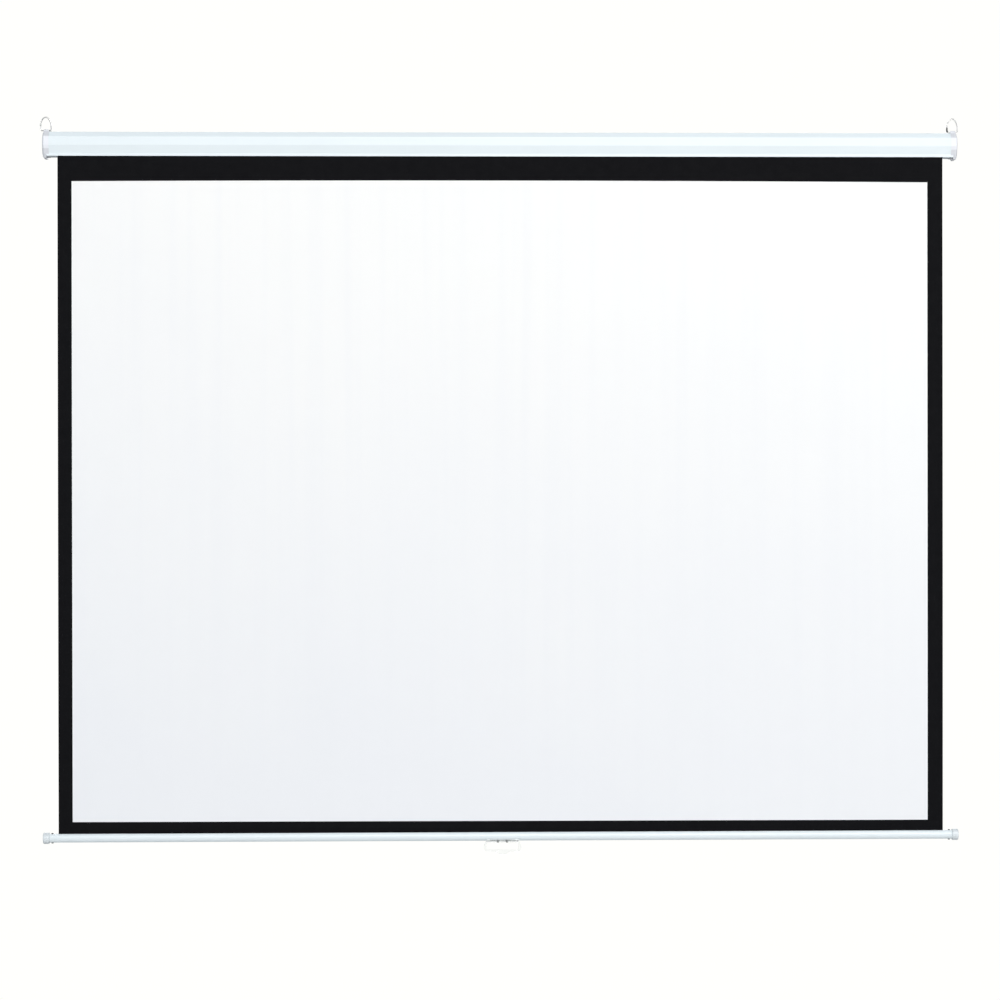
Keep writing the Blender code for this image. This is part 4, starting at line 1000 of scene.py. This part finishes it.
class PULLSCREEN_OT_drive_screws(bpy.types.Operator):
    """Turn one cross-head screw and drive a copy into each screw's place"""

    bl_idname = "pullscreen.drive_screws"
    bl_label = "Drive the screws"

    # Each kind's name, the places it has, its finish, its slot and its body
    screws = (
        (
            "case_screw", ("left_rear", "left_front", "right_rear", "right_front"),
            "zinc_plate", "zinc_plated_steel", "case",
        ),
        (
            "bar_screw", ("left_top", "left_under", "right_top", "right_under"),
            "black_oxide", "dark_screw_steel", "bottom_bar",
        ),
        ("handle_screw", SIDES, "dull_zinc", "dark_screw_steel", "bottom_bar"),
    )

    def execute(self, context):
        look = context.scene.pullscreen_screws
        pattern = self.turn_screw(look)
        for kind, words, finish, slot, body in self.screws:
            for number, word in enumerate(words):
                node = f"{kind}_{word}"
                points_down = body == "case" or word.endswith("top")
                screw = self.drive(pattern, look, node, number, points_down)
                coat(screw, finish)
                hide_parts(node)
                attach(screw, body)
        delete(pattern)
        return {"FINISHED"}

    def turn_screw(self, look):
        """A screw whose seat is at the origin and whose head is on top."""
        size = size_of("case_screw_left_rear")
        radius = size.x / 2
        length = size.z - look.head_height
        screw = peg("screw_pattern", radius, 0, look.head_height, (0, 0))
        pick(screw, "FACE", lambda face: face.normal.z < -NEARLY)
        bpy.ops.mesh.inset(thickness=radius - look.shank_radius)
        for piece_length in (length * (1 - look.point), length * look.point):
            bpy.ops.mesh.extrude_region_move(TRANSFORM_OT_translate={"value": (0, 0, -piece_length)})
        bpy.ops.transform.resize(value=(look.point_end, look.point_end, 1))
        leave_edit()
        heights = [corner.co.z for corner in screw.data.vertices]
        top = look.head_height * NEARLY
        pick(screw, "EDGE", lambda edge: min(heights[end] for end in edge.vertices) > top)
        bpy.ops.mesh.bevel(offset=look.head_height * look.crown, segments=6, profile=0.6, affect="EDGES")
        leave_edit()
        for turn in (0, math.pi / 2):
            place = {"location": (0, 0, look.head_height), "rotation": (0, 0, turn)}
            arm = created("cross_arm", bpy.ops.mesh.primitive_cube_add, size=1, **place)
            arm.scale = (look.cross_length, look.cross_width, look.cross_depth * 2)
            for corner in arm.data.vertices:
                corner.co.x *= look.cross_taper if corner.co.z < 0 else 1
            settle(arm)
            cut_with(screw, arm)
        smooth(screw, 32)
        return screw

    def drive(self, pattern, look, node, number, points_down):
        """A copy of the pattern in a screw's place, with its cross turned its own way."""
        low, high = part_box(node)
        middle = (low + high) / 2
        seat = high.z - look.head_height if points_down else low.z + look.head_height
        place = Matrix.Translation((middle.x, middle.y, seat))
        lean = Matrix.Rotation(0 if points_down else math.pi, 4, "X")
        turn = Matrix.Rotation(look.first_turn + look.next_turn * number, 4, "Z")
        return copy_of(pattern, f"cross_head_{node}", place @ lean @ turn)


class PULLSCREEN_OT_set_stage(bpy.types.Operator):
    """Lay the floor, light the room and stand the camera where the photograph was taken"""

    bl_idname = "pullscreen.set_stage"
    bl_label = "Set the stage"

    # The floor's middle in Y, its width and its depth, and how many faces it has each way
    floor_middle = -4
    floor_size = (14, 10.4)
    floor_faces = 8

    # Each light's name, place, target, width and height, share of the key light's power, and colour
    lights = (
        ("key_light", (1.2, -6.3, 2.8), (0.1, 0, -0.7), (4.5, 3.0), 1.0, (1.0, 0.985, 0.965)),
        ("left_fill", (-5.0, -2.6, 0.9), (0, 0, -0.7), (3.0, 3.0), 0.2, (0.95, 0.98, 1.0)),
        ("right_fill", (5.0, -2.6, 0.9), (0, 0, -0.7), (3.0, 3.0), 0.2, (0.95, 0.98, 1.0)),
        ("back_light", (0, 5.0, 1.6), (0, 0, -0.7), (4.0, 3.0), 0.4, (0.97, 0.99, 1.0)),
    )

    # The white that is seen, and the tint of the light with its share at each height of the sky
    seen_white = (1.01, 1.01, 0.984)
    room_tint = (0.90, 0.97, 1.06)
    room_bands = ((0.0, 0.18), (0.12, 1.15), (0.65, 0.80))

    # The width of the film and how far the camera sees
    film_width = 36
    sight = 100

    def execute(self, context):
        look = context.scene.pullscreen_stage
        self.lay_floor(look)
        self.light_room(context, look)
        self.stand_camera(context, look)
        return {"FINISHED"}

    def lay_floor(self, look):
        faces = {"x_subdivisions": self.floor_faces, "y_subdivisions": self.floor_faces}
        place = (0, self.floor_middle, -look.floor_drop)
        add = bpy.ops.mesh.primitive_grid_add
        floor = created("studio_floor", add, size=1, location=place, **faces)
        floor.scale = (*self.floor_size, 1)
        settle(floor)
        paint = Finish("pale_floor_paint")
        tone = paint.ramp(paint.noise(1.2, 4), (0.3, (0.66, 0.66, 0.655)), (0.7, (0.69, 0.69, 0.685)))
        gloss = paint.ranged(paint.noise(6, 4), 0.6, 0.75)
        relief = paint.bump(paint.noise(250, 3), 0.00005)
        floor.data.materials.append(paint.set(Base_Color=tone, Roughness=gloss, Normal=relief))
        paint.clear_from_behind()

    def light_room(self, context, look):
        """A white room: soft and cool where it lights or is reflected, and clean white where it is seen."""
        context.scene.world = bpy.data.worlds.new("white_room")
        room = NodeTree(context.scene.world)
        height = room.along_axis(room.node("ShaderNodeTexCoord").outputs["Generated"], "Z")
        bands = [(stop, shade(self.room_tint, look.room_light * share)) for stop, share in self.room_bands]
        ray = room.node("ShaderNodeLightPath").outputs
        outside = room.calculate("LESS_THAN", ray["Transmission Depth"], 0.5)
        mirrored = room.calculate("MULTIPLY", ray["Is Glossy Ray"], outside)
        soft = room.calculate("MAXIMUM", ray["Is Diffuse Ray"], mirrored)
        tone = room.blended(soft, self.seen_white, room.ramp(height, *bands))
        room.feed(room.tree.nodes["Background"].inputs["Color"], tone)
        for name, place, target, size, share, colour in self.lights:
            lamp = created(name, bpy.ops.object.light_add, type="AREA", location=place)
            lamp.data.shape = "RECTANGLE"
            lamp.data.size, lamp.data.size_y = size
            lamp.data.energy = look.key_power * share
            lamp.data.color = colour
            lamp.visible_camera = False
            lamp.rotation_euler = (Vector(target) - Vector(place)).to_track_quat("-Z", "Y").to_euler()

    def stand_camera(self, context, look):
        camera = created("photo_camera", bpy.ops.object.camera_add, location=look.camera_place)
        camera.rotation_euler = (math.pi / 2 + look.pitch, -look.roll, -look.yaw)
        camera.data.sensor_width = self.film_width
        camera.data.lens = look.lens
        camera.data.clip_end = self.sight
        context.scene.camera = camera
        context.scene.view_settings.view_transform = "Standard"


class VIEW3D_PT_pullscreen(bpy.types.Panel):
    bl_label = "Pull Screen"
    bl_space_type = "VIEW_3D"
    bl_region_type = "UI"
    bl_category = "Pull Screen"

    def draw(self, context):
        for step in STEPS:
            self.layout.operator(step.bl_idname)
        for name in SETTINGS:
            settings = getattr(context.scene, name)
            box = self.layout.box()
            for entry in settings.bl_rna.properties:
                if entry.identifier not in ("rna_type", "name"):
                    box.prop(settings, entry.identifier)


STEPS = (
    PULLSCREEN_OT_mix_finishes,
    PULLSCREEN_OT_dress_parts,
    PULLSCREEN_OT_hang_screen,
    PULLSCREEN_OT_sew_hem,
    PULLSCREEN_OT_wind_turns,
    PULLSCREEN_OT_hang_rings,
    PULLSCREEN_OT_mould_pull,
    PULLSCREEN_OT_drive_screws,
    PULLSCREEN_OT_set_stage,
)


def register():
    for kind in (*SETTINGS.values(), *STEPS, VIEW3D_PT_pullscreen):
        bpy.utils.register_class(kind)
    for name, kind in SETTINGS.items():
        setattr(bpy.types.Scene, name, PointerProperty(type=kind))


def unregister():
    for name in SETTINGS:
        delattr(bpy.types.Scene, name)
    for kind in (VIEW3D_PT_pullscreen, *reversed(STEPS), *reversed(SETTINGS.values())):
        bpy.utils.unregister_class(kind)


def main():
    register()
    bpy.ops.pullscreen.mix_finishes()
    bpy.ops.pullscreen.dress_parts()
    bpy.ops.pullscreen.hang_screen()
    bpy.ops.pullscreen.sew_hem()
    bpy.ops.pullscreen.wind_turns()
    bpy.ops.pullscreen.hang_rings()
    bpy.ops.pullscreen.mould_pull()
    bpy.ops.pullscreen.drive_screws()
    bpy.ops.pullscreen.set_stage()


if __name__ == "__main__":
    main()
